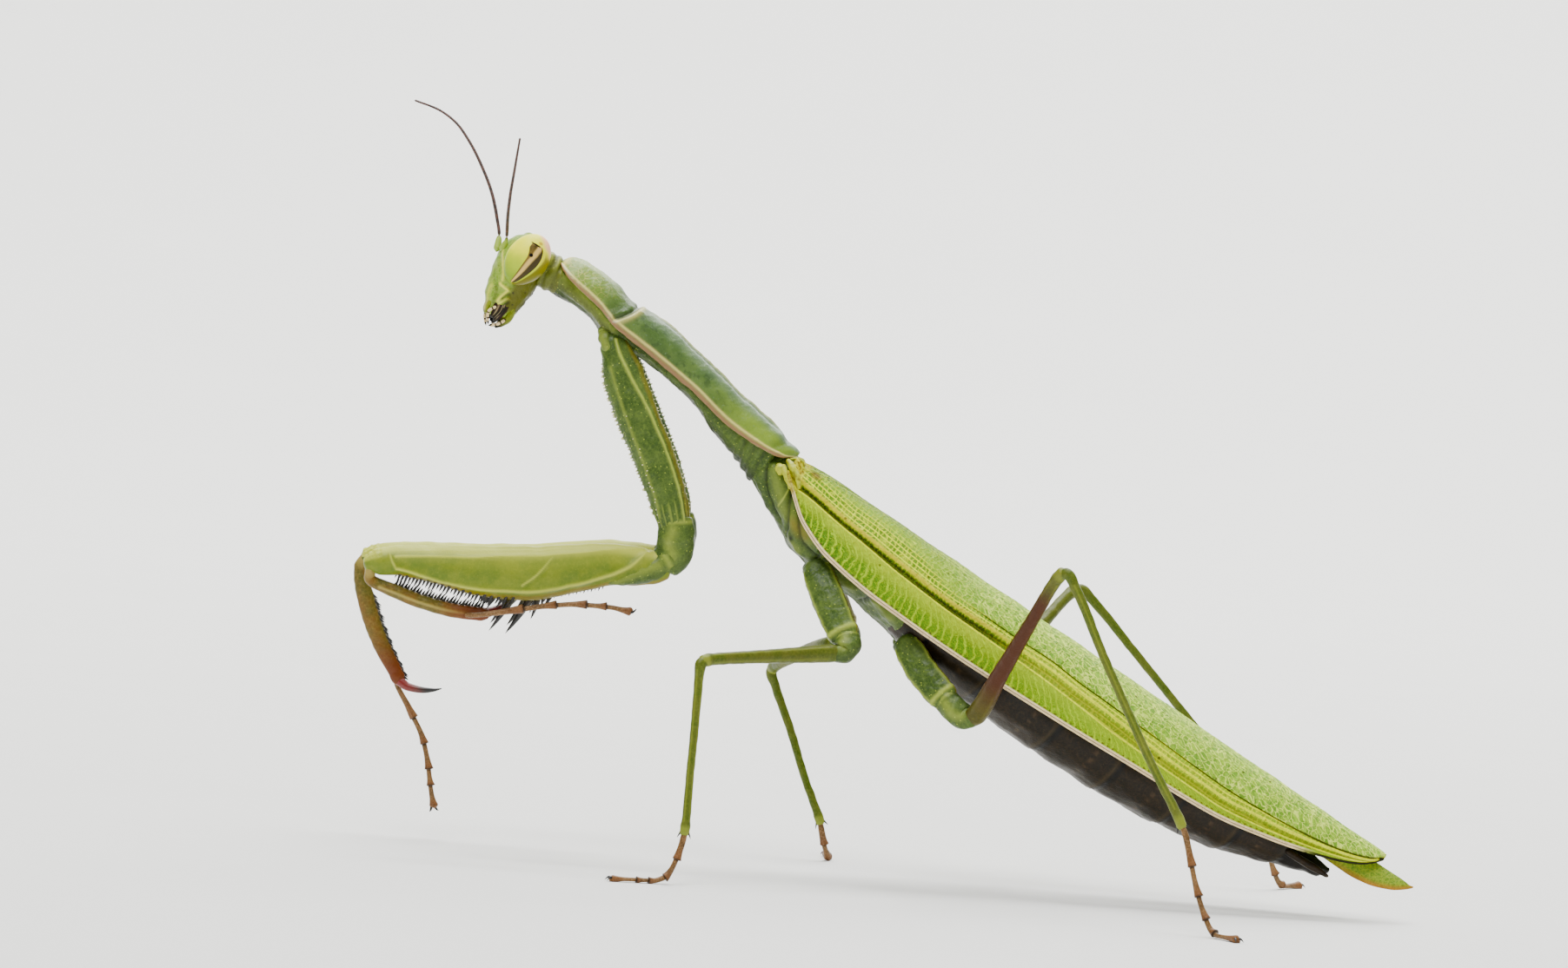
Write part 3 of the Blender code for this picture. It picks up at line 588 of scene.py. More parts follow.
def thoraxTube():
    tube = trunkTube(onRear, thoraxRows, 240, 128, "green")
    # the side plates of both wing-bearing segments, with furrows between them
    plates = [
        ([(-1.15, 8), (-0.55, -12), (0.3, -25)], 0.50, 0.26),
        ([(0.8, -32), (2.2, -26), (3.4, -22)], 0.55, 0.20),
        ([(2.2, -58), (3.2, -56)], 0.40, 0.16),
        ([(5.2, -18), (7.0, -14), (9.4, -12)], 0.70, 0.22),
        ([(5.6, -50), (7.6, -44)], 0.45, 0.16),
        ([(9.6, -34), (11.0, -34)], 0.45, 0.16),
    ]
    furrows = [
        [(-1.75, -5), (-1.35, -30), (-0.5, -48), (0.9, -58)],
        [(0.45, 10), (0.75, -14), (1.6, -40), (2.0, -66)],
        [(1.5, -8), (3.2, -38), (4.3, -40)],
        [(4.4, 20), (4.5, -20), (4.6, -70)],
        [(5.0, -32), (7.0, -30), (9.6, -24)],
        [(8.6, -60), (9.0, -34), (9.3, 10)],
        [(11.9, 20), (12.2, -20), (12.0, -60)],
    ]
    for route, width, height in plates:
        tube.raiseBy(height * tube.stroke(route, width))
        tube.mark("pale", 0.22 * tube.stroke(route, width * 0.8))
    for route in furrows:
        tube.raiseBy(-0.16 * tube.stroke(route, 0.16))
        tube.mark("dark", 0.65 * tube.stroke(route, 0.13))
    tube.mark("warm", 0.45 * tube.stroke([(1.9, -30), (3.0, -26)], 0.35))
    tube.mark("pale", 0.8 * tube.stroke([(0.28, -6), (0.42, -24), (0.40, -36)], 0.06))
    tube.mark("dark", tube.spot(2.35, -50, 0.20))
    tube.raiseBy(0.42 * tube.stroke([(-1.0, 90), (0.35, 90)], 0.75))
    tube.mark("dark", tube.spot(0.05, 60, 0.12))
    # painted shade: the underside is darkened towards the bottom
    tube.mark("dark", 0.45 * soften(-tube.angle, 45, 85))
    tube.roughen((0.07, 1.3, 4), (0.03, 0.5, 3))
    return tube


def abdomenTube():
    tube = trunkTube(onRear, abdomenRows, 240, 96, "belly")
    along, angle = tube.ruler, tube.angle
    edges = (13.5, 18.5, 24.4, 29.4, 34.3, 38.7, 42.3)
    arc = 0.9 * np.cos(np.radians(angle)) - 0.5  # the plates' rear edges bulge rearwards at the sides
    for edge in edges:
        away = along - edge - arc
        tube.raiseBy(0.10 * soften(away, -1.6, -0.1) * (1 - soften(away, -0.02, 0.14)))
        tube.mark("dark", hump(away, 0.08, 0.22))
        tube.mark("pale", 0.35 * hump(away, -0.24, 0.14))
        dashes = (np.sin(angle * 0.45 + edge) > 0.3) * (angle < 20)
        tube.mark("warm", 0.4 * hump(away, -1.9, 0.13) * dashes)
    tube.mark("dark", 0.75 * soften(along, 41.5, 43.0))
    tube.raiseBy(0.10 * tube.spot(44.9, -70, 0.35) * (along > 40))
    tube.roughen((0.06, 2.0, 4), (0.02, 0.5, 9))
    return tube


def prothoraxTube():
    tube = trunkTube(onFront, prothoraxRows, 200, 96, "green")
    along, angle = tube.ruler, tube.angle
    tube.raiseBy(0.10 * tube.stroke([(0.3, -10), (2.2, -30), (4.2, -34)], 0.45))
    tube.raiseBy(-0.08 * tube.stroke([(0.8, -48), (3.6, -58)], 0.16))
    folds = np.sin(along * 2 * math.pi / 0.75 + angle / 16.0) * soften(along, 16.0, 17.2)
    tube.raiseBy(0.07 * folds)
    # painted shade in the hollows between the folds
    tube.mark("dark", 0.35 * soften(-folds, 0.3, 0.9))
    tube.mark("pale", 0.35 * tube.stroke([(0.4, 6), (2.6, -6), (5.2, -4)], 0.30))
    tube.mark("warm", 0.15 * tube.stroke([(0.6, -24), (3.0, -30), (5.4, -30)], 0.5))
    # painted shade: the underside is darkened towards the bottom
    tube.mark("dark", 0.80 * soften(-angle, 25, 75))
    tube.roughen((0.05, 1.5, 5), (0.025, 0.5, 15))
    return tube


def neckTube():
    tube = trunkTube(onFront, neckRows, 90, 80, "green", (0.1, 0.1))
    wander = unevenness(tube.points, 1.6, 16)
    folds = np.sin(tube.ruler * 2 * math.pi / 0.62 + wander * 1.4 + tube.angle / 30.0)
    tube.raiseBy(0.045 * folds + 0.04 * wander)
    # painted shade in the hollows between the folds and on the underside
    tube.mark("dark", 0.2 * soften(-folds, 0.2, 0.9) + 0.15 * soften(-tube.angle, 20, 80))
    tube.mark("warm", 0.22)
    # painted highlight on the folds' crests, mostly on the upper side
    tube.mark("pale", 0.35 * soften(tube.angle, -10, 50) * soften(folds, -0.5, 0.6))
    return tube


headPlace = Matrix.Translation((-19.75, -0.1, 39.8)) @ (
    Matrix.Rotation(math.radians(9.0), 4, "Z") @ Matrix.Rotation(math.radians(19.0), 4, "Y")
    @ Matrix.Rotation(math.radians(-8.0), 4, "X")
)
# crown, level, half width, reach to the front and to the back
headRows = [
    (-2.90, 0.0, 0.60, 0.78, 0.75),
    (-2.40, 0.0, 0.85, 1.08, 1.15),
    (-1.40, 0.0, 1.15, 1.40, 1.52),
    (-0.20, 0.0, 1.60, 1.48, 1.82),
    (1.00, 0.0, 2.00, 1.52, 1.80),
    (2.00, 0.0, 2.00, 1.28, 1.45),
    (2.60, 0.0, 1.60, 0.85, 1.05),
    (2.95, 0.0, 0.90, 0.35, 0.55),
]


def inHead(crown, left, forward):
    # distances from the middle of the head
    place = np.array(headPlace)
    turned = np.stack(np.broadcast_arrays(-forward, -left, crown), axis=-1)
    return turned @ place[:3, :3].T + place[:3, 3]


def headTube():
    tube = trunkTube(inHead, headRows, 110, 112, "head", (0.15, 0.25))
    crown, angle = tube.ruler, tube.angle
    ridges = (
        ([(1.2, 64), (0.716, 54), (0.2, 44), (-0.284, 34), (-0.75, 27)], 0.10, 0.05, 0.75),
        ([(-1.0, 30), (-1.107, 22), (-1.224, 2)], 0.10, 0.10, 0.95),
        ([(-1.224, 2), (-1.50, 6), (-1.783, 13), (-2.165, 20)], 0.09, 0.09, 0.95),
        ([(-1.75, -12), (-1.842, -4), (-2.15, 8), (-2.518, 18)], 0.09, 0.07, 0.80),
        ([(-1.3, 56), (-1.9, 62), (-2.7, 64)], 0.16, 0.05, 0.45),
    )
    hollows = (
        ([(-1.25, 40), (-1.8, 32), (-2.4, 34)], 0.16, -0.06, 0.45),
        ([(-1.45, -6), (-1.62, 2), (-1.95, 8)], 0.10, -0.06, 0.60),
        ([(0.0, 68), (-0.55, 62), (-0.95, 50)], 0.10, -0.04, 0.25),
        ([(-2.0, -14), (-2.5, 0), (-2.85, 8)], 0.12, -0.05, 0.70),
    )
    # the cheeks below the eyes are olive, partly their own colour and partly painted shade; their undersides
    # get more painted shade
    gena = soften(-angle, -6, 14) * (1 - soften(crown, 1.6, 2.3)) * soften(crown, -2.9, -2.3)
    tube.mark("warm", 0.92 * gena)
    tube.mark("dark", 0.75 * soften(-angle, 52, 82) * gena)
    tube.draw("pale", *ridges)
    tube.draw("dark", *hollows)
    for place in ((0.128, 59, 0.055), (-1.283, -13, 0.07), (-0.9, -44, 0.05), (-2.0, -30, 0.06)):
        tube.raiseBy(-0.03 * tube.spot(*place))
        tube.mark("dark", tube.spot(*place))
    tube.roughen((0.03, 1.0, 6), (0.012, 0.35, 36))
    tube.raiseBy(0.05 * unevenness(tube.points, 0.30, 37) * soften(-angle, 60, 85))
    return tube


def legTube(stations, rings, sectors, outer, finish, bulges=(0.3, 0.3)):
    stations = np.asarray(stations, float)
    if outer > 0 and stations[0, 1] < 0:
        stations = stations * (1, -1, 1, 1, 1)
    tube = limbTube(stations, rings, sectors, outer, finish, bulges)
    tube.points[..., 2] = np.maximum(tube.points[..., 2], 0.0)
    return tube


# the legs' stations, as x, y, z, half width and half depth
foreCoxa = [
    (-12.35, -1.70, 36.10, 0.60, 0.80),
    (-12.15, -2.10, 35.20, 0.75, 1.02),
    (-11.55, -2.45, 33.60, 0.90, 1.40),
    (-10.40, -2.90, 31.00, 0.98, 1.45),
    (-8.90, -3.30, 28.00, 0.95, 1.40),
    (-7.65, -3.55, 25.00, 0.92, 1.25),
    (-7.30, -3.63, 23.70, 0.80, 1.10),
]
foreTrochanter = [
    (-7.20, -3.64, 24.10, 0.80, 1.15),
    (-7.08, -3.68, 23.00, 0.88, 1.32),
    (-7.12, -3.74, 21.90, 0.86, 1.28),
    (-7.75, -3.80, 21.00, 0.80, 1.15),
]
foreFemurLeft = [
    (-7.60, -3.84, 20.90, 0.70, 0.95),
    (-8.70, -3.88, 20.72, 0.82, 1.22),
    (-10.90, -3.95, 20.72, 0.95, 1.42),
    (-14.00, -4.10, 20.22, 1.08, 1.68),
    (-17.20, -4.22, 19.65, 1.12, 1.88),
    (-20.00, -4.32, 19.58, 1.05, 1.75),
    (-23.00, -4.42, 19.80, 0.92, 1.38),
    (-25.60, -4.50, 19.88, 0.80, 1.05),
    (-27.20, -4.55, 19.70, 0.72, 0.92),
    (-27.95, -4.58, 19.55, 0.50, 0.60),
]
foreTibiaLeft = [
    (-27.75, -4.55, 19.10, 0.38, 0.36),
    (-27.75, -4.53, 18.55, 0.40, 0.40),
    (-27.15, -4.50, 18.15, 0.42, 0.42),
    (-26.05, -4.48, 17.78, 0.46, 0.48),
    (-24.00, -4.40, 17.14, 0.46, 0.50),
    (-21.80, -4.25, 16.72, 0.44, 0.50),
    (-20.05, -4.05, 16.62, 0.40, 0.44),
    (-19.70, -3.92, 16.65, 0.36, 0.40),
]
foreClawLeft = [
    (-20.10, -4.00, 16.64, 0.30, 0.34),
    (-19.70, -3.80, 16.70, 0.32, 0.36),
    (-19.10, -3.40, 16.90, 0.27, 0.29),
    (-18.20, -3.00, 17.40, 0.20, 0.22),
    (-17.70, -2.86, 17.80, 0.12, 0.13),
    (-17.45, -2.80, 18.05, 0.04, 0.04),
]
foreTarsusLeft = [
    (-21.00, -4.80, 16.50, 0.22, 0.22),
    (-20.50, -4.98, 16.55, 0.27, 0.27),
    (-17.60, -5.10, 17.12, 0.26, 0.26),
    (-15.40, -5.15, 17.60, 0.26, 0.26),
    (-13.10, -5.15, 17.86, 0.26, 0.26),
    (-11.30, -5.15, 17.84, 0.25, 0.25),
    (-9.85, -5.10, 17.62, 0.25, 0.25),
]
foreFemurRight = [
    (-7.70, 3.86, 20.88, 0.70, 0.95),
    (-9.00, 3.95, 20.68, 0.82, 1.22),
    (-11.30, 4.20, 20.57, 0.95, 1.42),
    (-14.50, 4.50, 19.92, 1.08, 1.68),
    (-17.70, 4.80, 19.30, 1.12, 1.88),
    (-20.50, 5.00, 19.20, 1.05, 1.75),
    (-23.60, 5.25, 19.43, 0.92, 1.38),
    (-26.20, 5.45, 19.55, 0.80, 1.05),
    (-27.90, 5.55, 19.45, 0.72, 0.90),
    (-28.60, 5.60, 19.38, 0.50, 0.60),
]
foreTibiaRight = [
    (-28.60, 5.62, 19.30, 0.38, 0.42),
    (-28.88, 5.68, 18.60, 0.42, 0.50),
    (-28.85, 5.70, 18.00, 0.42, 0.50),
    (-28.45, 5.75, 16.70, 0.46, 0.60),
    (-27.80, 5.85, 14.90, 0.48, 0.62),
    (-27.00, 5.95, 13.25, 0.46, 0.60),
    (-26.05, 6.00, 11.70, 0.42, 0.52),
    (-25.65, 5.95, 10.95, 0.36, 0.44),
]
foreClawRight = [
    (-25.85, 5.95, 11.10, 0.30, 0.34),
    (-25.55, 5.85, 10.88, 0.30, 0.34),
    (-24.95, 5.70, 10.55, 0.27, 0.29),
    (-23.90, 5.60, 10.42, 0.22, 0.22),
    (-23.20, 5.60, 10.48, 0.13, 0.13),
    (-22.65, 5.60, 10.62, 0.04, 0.04),
]
foreTarsusRight = [
    (-26.00, 6.60, 11.40, 0.22, 0.22),
    (-25.95, 6.75, 11.00, 0.27, 0.27),
    (-24.90, 6.85, 9.05, 0.26, 0.26),
    (-23.80, 6.85, 7.10, 0.26, 0.26),
    (-23.30, 6.80, 5.50, 0.26, 0.26),
    (-22.90, 6.75, 3.50, 0.25, 0.25),
    (-22.65, 6.75, 2.40, 0.25, 0.25),
]
middleCoxa = [
    (2.60, -1.60, 21.50, 0.80, 0.95),
    (3.00, -2.25, 20.75, 0.90, 1.05),
    (3.80, -3.15, 19.20, 1.00, 1.12),
    (4.70, -4.10, 17.50, 0.92, 1.06),
    (5.00, -4.45, 17.00, 0.80, 0.95),
]
middleTrochanter = [
    (5.05, -4.45, 17.05, 0.78, 0.90),
    (5.20, -4.75, 16.55, 0.80, 0.95),
    (5.00, -5.05, 15.95, 0.70, 0.72),
    (4.40, -5.30, 15.85, 0.55, 0.60),
]
middleFemurLeft = [
    (4.60, -5.20, 15.92, 0.50, 0.55),
    (4.05, -5.45, 15.88, 0.55, 0.62),
    (1.50, -7.10, 15.66, 0.48, 0.54),
    (-1.80, -9.70, 15.42, 0.40, 0.44),
    (-4.00, -11.45, 15.22, 0.38, 0.42),
    (-4.50, -11.85, 15.10, 0.38, 0.42),
]
middleTibiaLeft = [
    (-4.30, -11.75, 15.16, 0.30, 0.34),
    (-4.66, -12.02, 14.85, 0.36, 0.40),
    (-4.70, -12.15, 13.90, 0.30, 0.32),
    (-4.72, -12.60, 10.80, 0.27, 0.29),
    (-4.78, -13.10, 7.20, 0.26, 0.28),
    (-4.80, -13.50, 4.30, 0.27, 0.30),
    (-4.84, -13.58, 3.60, 0.30, 0.33),
]
middleTarsusLeft = [
    (-4.82, -13.56, 3.80, 0.22, 0.24),
    (-4.90, -13.65, 3.10, 0.27, 0.30),
    (-5.15, -13.80, 2.10, 0.26, 0.26),
    (-5.50, -13.95, 1.10, 0.26, 0.26),
    (-6.00, -14.10, 0.45, 0.27, 0.27),
    (-6.80, -14.30, 0.20, 0.30, 0.24),
    (-9.40, -15.00, 0.20, 0.28, 0.22),
]
middleFemurRight = [
    (4.60, 5.20, 15.92, 0.50, 0.55),
    (4.15, 5.50, 15.80, 0.55, 0.62),
    (2.90, 8.30, 15.20, 0.48, 0.54),
    (1.40, 11.90, 14.25, 0.40, 0.44),
    (0.40, 14.70, 13.45, 0.38, 0.42),
    (0.20, 15.25, 13.20, 0.38, 0.42),
]
middleTibiaRight = [
    (0.30, 15.05, 13.30, 0.30, 0.34),
    (0.15, 15.40, 12.95, 0.36, 0.40),
    (0.50, 15.35, 12.00, 0.30, 0.32),
    (1.90, 14.80, 8.80, 0.27, 0.29),
    (3.15, 14.20, 5.60, 0.26, 0.28),
    (4.15, 13.75, 3.40, 0.27, 0.30),
    (4.40, 13.65, 2.80, 0.30, 0.33),
]
middleTarsusRight = [
    (4.35, 13.65, 2.95, 0.22, 0.24),
    (4.55, 13.60, 2.20, 0.27, 0.30),
    (4.80, 13.80, 1.20, 0.26, 0.26),
    (5.05, 14.20, 0.50, 0.27, 0.27),
    (5.15, 14.90, 0.20, 0.30, 0.24),
    (5.00, 17.60, 0.20, 0.28, 0.22),
]
hindCoxa = [
    (9.10, -2.30, 16.90, 0.80, 0.90),
    (9.76, -2.82, 16.00, 0.90, 1.00),
    (10.40, -3.20, 15.10, 0.98, 1.06),
    (11.50, -3.90, 13.95, 0.92, 1.05),
    (12.20, -4.35, 13.30, 0.80, 0.92),
]
hindTrochanter = [
    (12.10, -4.30, 13.35, 0.76, 0.88),
    (12.80, -4.70, 12.70, 0.80, 0.92),
    (13.60, -5.15, 12.15, 0.70, 0.78),
    (14.15, -5.55, 12.30, 0.56, 0.64),
]
hindFemurLeft = [
    (13.95, -5.40, 12.15, 0.52, 0.60),
    (14.35, -5.80, 12.55, 0.62, 0.72),
    (15.60, -8.20, 15.40, 0.52, 0.60),
    (17.40, -11.80, 19.50, 0.42, 0.46),
    (18.75, -14.40, 22.55, 0.38, 0.42),
    (19.10, -14.95, 23.10, 0.38, 0.42),
]
hindTibiaLeft = [
    (19.00, -14.80, 23.00, 0.30, 0.34),
    (19.40, -15.12, 23.08, 0.36, 0.40),
    (20.05, -15.40, 22.20, 0.32, 0.34),
    (22.20, -16.60, 17.95, 0.28, 0.30),
    (24.10, -17.70, 14.40, 0.27, 0.29),
    (26.20, -19.10, 10.60, 0.27, 0.29),
    (27.90, -20.10, 7.80, 0.29, 0.33),
    (28.20, -20.30, 7.20, 0.32, 0.36),
]
hindTarsusLeft = [
    (28.15, -20.27, 7.35, 0.24, 0.26),
    (28.50, -20.50, 6.60, 0.28, 0.30),
    (28.95, -20.80, 5.00, 0.26, 0.26),
    (29.60, -21.20, 2.80, 0.26, 0.26),
    (30.20, -21.60, 1.30, 0.26, 0.26),
    (30.70, -21.95, 0.45, 0.27, 0.27),
    (31.15, -22.50, 0.20, 0.30, 0.24),
    (32.20, -24.00, 0.20, 0.28, 0.22),
]
hindFemurRight = [
    (14.00, 5.50, 12.25, 0.52, 0.60),
    (14.45, 5.90, 12.65, 0.62, 0.72),
    (16.20, 8.90, 14.90, 0.52, 0.60),
    (18.80, 12.80, 17.90, 0.42, 0.46),
    (20.75, 15.80, 20.10, 0.38, 0.42),
    (21.20, 16.30, 20.45, 0.38, 0.42),
]
hindTibiaRight = [
    (21.05, 16.20, 20.40, 0.30, 0.34),
    (21.55, 16.50, 20.42, 0.36, 0.40),
    (22.40, 16.60, 19.75, 0.32, 0.34),
    (25.40, 17.00, 16.60, 0.28, 0.30),
    (28.70, 17.50, 13.10, 0.27, 0.29),
    (31.70, 17.95, 9.90, 0.27, 0.29),
    (34.20, 18.30, 7.30, 0.29, 0.33),
    (34.55, 18.37, 6.85, 0.32, 0.36),
]
hindTarsusRight = [
    (34.50, 18.36, 6.95, 0.24, 0.26),
    (35.00, 18.50, 6.30, 0.28, 0.30),
    (35.70, 18.80, 4.60, 0.26, 0.26),
    (36.50, 19.20, 2.50, 0.26, 0.26),
    (37.00, 19.50, 1.20, 0.26, 0.26),
    (37.45, 19.95, 0.45, 0.27, 0.27),
    (37.90, 20.60, 0.20, 0.30, 0.24),
    (38.90, 22.00, 0.20, 0.28, 0.22),
]
trochanterFoot = [
    (-7.30, -3.95, 21.40, 0.70, 0.85),
    (-8.60, -4.06, 20.52, 0.72, 0.78),
    (-10.20, -4.14, 19.86, 0.60, 0.50),
    (-11.40, -4.15, 19.52, 0.34, 0.20),
    (-11.90, -4.15, 19.50, 0.15, 0.10),
]
coxaHinge = [
    (-13.25, -1.60, 36.55, 0.30, 0.34),
    (-13.00, -2.00, 36.05, 0.42, 0.46),
    (-12.80, -2.25, 35.50, 0.40, 0.44),
    (-12.62, -2.35, 35.00, 0.24, 0.26),
]


def foreCoxaTube(outer):
    tube = legTube(foreCoxa, 200, 96, outer, "green")
    share, angle = tube.ruler, tube.angle
    ridge = tube.stroke([(0.03, -5), (0.2, -15), (0.457, -36), (0.754, -39), (0.99, -39)], 0.13)
    low = tube.stroke([(0.15, 30), (0.45, 33), (0.628, 36), (0.754, 39), (0.95, 44)], 0.14)
    tube.raiseBy(0.10 * ridge + 0.06 * low)
    tube.mark("pale", 0.75 * ridge ** 2 + 0.3 * low ** 2)
    tube.mark("warm", 0.35 * soften(-angle, 46, 56) * (1 - soften(-angle, 85, 100)))
    grooves = np.sin(np.radians(angle) * 17.0) * soften(share, 0.82, 0.92)
    tube.raiseBy(0.025 * grooves)
    tube.mark("pale", 0.3 * soften(grooves, 0.5, 0.95))
    for place, height in (((0.02, 30, 0.4), 0.12), ((0.05, 75, 0.35), 0.14), ((0.93, 20, 0.35), 0.08)):
        tube.raiseBy(height * tube.spot(*place))
    tube.roughen((0.04, 1.2, 7), (0.014, 0.4, 17))
    return tube


def coxaTube(stations, outer):
    # three blunt edges, a pale line on two of them, and a yellow ring at the end
    tube = legTube(stations, 120, 72, outer, "green")
    share, angle = tube.ruler, tube.angle
    tube.raiseBy(0.11 * np.cos(np.radians(3.0 * (angle - 60.0))) * soften(share, 0.0, 0.15))
    tube.draw("pale", *(([(0.08, turn), (0.95, turn)], 0.10, 0.05, 0.55) for turn in (-55, 58)))
    tube.mark("warm", 0.5 * soften(-angle, 58, 68) * (1 - soften(-angle, 110, 130)))
    ring = hump(share, 0.94, 0.035)
    tube.raiseBy(0.07 * ring)
    tube.mark("pale", 0.7 * ring)
    tube.roughen((0.04, 1.0, 7), (0.02, 0.35, 18))
    return tube


def trochanterTube(stations, outer, finish="green"):
    tube = legTube(stations, 60, 56, outer, finish)
    # painted shade: the underside is darkened
    tube.mark("dark", 0.3 * soften(-tube.angle, 10, 80))
    tube.mark("pale", 0.35 * tube.stroke([(0.2, 10), (0.5, 20), (0.8, 0)], 0.35))
    tube.raiseBy(0.06 * tube.stroke([(0.3, -60), (0.45, 0), (0.4, 60)], 0.22))
    tube.mark("pale", 0.45 * hump(tube.ruler, 0.06, 0.05))
    tube.roughen((0.03, 0.7, 19))
    return tube


def foreFemurTube(stations, outer):
    tube = legTube(stations, 300, 112, outer, "femur")
    share, angle = tube.ruler, tube.angle
    upper = [(0.906, 16), (0.722, 27), (0.488, 40), (0.334, 38), (0.221, 40), (0.087, 62)]
    lower = [
        (0.903, -30), (0.829, -40), (0.739, -50), (0.595, -42), (0.482, -40), (0.348, -40),
        (0.197, -28), (0.12, 0), (0.067, 50),
    ]
    tube.raiseBy(0.09 * tube.stroke(upper, 0.26) + 0.10 * tube.stroke(lower, 0.24))
    tube.draw(
        "pale", (upper, 0.09, 0.05, 0.75), (lower, 0.10, 0.06, 0.70),
        ([(0.07, 68), (0.33, 72), (0.605, 75), (0.88, 78)], 0.10, 0.04, 0.60),
        ([(0.9, 38), (0.722, 48), (0.488, 57), (0.28, 58)], 0.06, 0.02, 0.45),
        ([(0.375, 32), (0.421, 4), (0.482, -25)], 0.06, 0.03, 0.60),
        ([(0.925, 30), (0.918, 0), (0.905, -30)], 0.08, 0.05, 0.55),
    )
    tube.raiseBy(-0.05 * tube.stroke([(0.365, 26), (0.41, 0), (0.47, -28)], 0.10))
    streaks = np.sin(np.radians(angle) * 26.0 + 0.8 * np.sin(share * 9.0)) > 0.5
    # painted light: paler towards the top
    tube.mark("pale", 0.55 * soften(angle, 20, 50) + 0.15 * soften(angle, -10, 20))
    tube.mark("pale", 0.85 * streaks * soften(angle, 44, 60) * soften(share, 0.05, 0.15))
    # the olive strip on the underside is partly the femur's own colour and partly painted shade; below it
    # the underside gets more painted shade
    tube.mark("warm", 0.7 * soften(-angle, 48, 60) * (1 - soften(share, 0.88, 0.93)))
    tube.mark("dark", 0.35 * soften(-angle, 66, 90))
    # the lobe at the knee and the pale grainy knee itself
    tube.raiseBy(0.12 * tube.stroke([(0.95, -10), (0.955, -50)], 0.45))
    knee = soften(share, 0.93, 0.975) * soften(angle, 0, 30)
    tube.mark("pale", 0.6 * knee)
    tube.raiseBy(0.05 * knee * unevenness(tube.points, 0.3, 28))
    tube.roughen((0.03, 1.4, 8))
    return tube


def foreTibiaTube(stations, outer):
    tube = legTube(stations, 180, 64, outer, "tibia")
    share = tube.ruler
    line = tube.stroke([(0.16, 12), (0.5, 4), (0.92, 0)], 0.10)
    tube.raiseBy(0.03 * line + 0.05 * hump(share, 0.97, 0.03))
    tube.mark("pale", 0.55 * line + 0.5 * (1 - soften(share, 0.02, 0.10)))
    tube.mark("warm", soften(share, 0.55, 0.92) * 0.85)
    tube.roughen((0.02, 0.7, 29))
    return tube


def walkingTube(stations, outer, rings, brown=0.0):
    # brown is how strongly the limb turns brown between its ends
    tube = legTube(stations, rings, 32, outer, "leg")
    share = tube.ruler
    for turn in (-30, 48):
        edge = [(0.08, turn), (0.94, turn)]
        tube.mark("pale", 0.4 * tube.stroke(edge, 0.05))
        tube.raiseBy(0.02 * tube.stroke(edge, 0.07))
    tube.mark("warm", brown * (0.5 + 0.5 * soften(share, 0.05, 0.3)) * (1 - 0.8 * soften(share, 0.78, 0.96)))
    tube.mark("pale", 0.5 * soften(share, 0.955, 0.985))
    tube.raiseBy(0.035 * hump(share, 0.965, 0.02))
    tube.roughen((0.015, 0.8, 30))
    return tube


def tarsusTube(stations, outer, joints):
    tube = legTube(stations, 170, 24, outer, "tarsus", (0.1, 0.15))
    below = soften(-tube.angle, 0, 70)
    for start, end in zip((0.0, *joints), (*joints, 1.0)):
        share = np.clip((tube.ruler - start) / (end - start), 0, 1)
        inside = (tube.ruler >= start) & (tube.ruler <= end)
        tube.raiseBy(np.where(inside, (0.11 + 0.08 * below) * share ** 3.5 - 0.085, 0.0))
        tube.mark("warm", np.where(inside, 0.5 * soften(share, 0.5, 0.9), 0.0))
    for joint in joints:
        tube.mark("dark", hump(tube.ruler, joint, 0.010) * 0.85)
    return tube


def bodySkin():
    tubes = [thoraxTube(), abdomenTube(), prothoraxTube(), neckTube(), headTube()]
    for outer, femur, tibia, tarsus in (
        (-1, foreFemurLeft, foreTibiaLeft, foreTarsusLeft),
        (1, foreFemurRight, foreTibiaRight, foreTarsusRight),
    ):
        tubes += [
            foreCoxaTube(outer), trochanterTube(foreTrochanter, outer),
            trochanterTube(trochanterFoot, outer), trochanterTube(coxaHinge, outer),
            foreFemurTube(femur, outer), foreTibiaTube(tibia, outer),
            tarsusTube(tarsus, outer, (0.36, 0.56, 0.74, 0.86)),
        ]
    for outer, coxa, trochanter, femur, tibia, tarsus in (
        (-1, middleCoxa, middleTrochanter, middleFemurLeft, middleTibiaLeft, middleTarsusLeft),
        (1, middleCoxa, middleTrochanter, middleFemurRight, middleTibiaRight, middleTarsusRight),
        (-1, hindCoxa, hindTrochanter, hindFemurLeft, hindTibiaLeft, hindTarsusLeft),
        (1, hindCoxa, hindTrochanter, hindFemurRight, hindTibiaRight, hindTarsusRight),
    ):
        tubes += [
            coxaTube(coxa, outer), trochanterTube(trochanter, outer),
            walkingTube(femur, outer, 130, 1.0 if femur is hindFemurLeft else 0.15),
            walkingTube(tibia, outer, 150), tarsusTube(tarsus, outer, (0.3, 0.5, 0.66, 0.78)),
        ]
    for side in (-1, 1):
        root = onRear(42.8, side * 1.50, -3.08)
        tip = onRear(45.7, side * 1.70, -2.95)
        middle = root * 0.4 + tip * 0.6
        tubes.append(limbTube(
            [(*root, 0.26, 0.26), (*middle, 0.28, 0.28), (*tip, 0.16, 0.16)], 50, 20, side, "belly"
        ))
    for tube in tubes:
        for mark in markNames:
            tube.mark(mark, 0.0)
        tube.mark("known", 1.0)
    pieces = [tube.build(f"segment{k}", skinFinishes) for k, tube in enumerate(tubes)]
    skin = fuse(pieces)
    skin.name = "bodySkin"
    fillMarks(skin.data)
    skin.data.shade_smooth()
    skin.data.set_sharp_from_angle(angle=math.radians(50))
    return skin


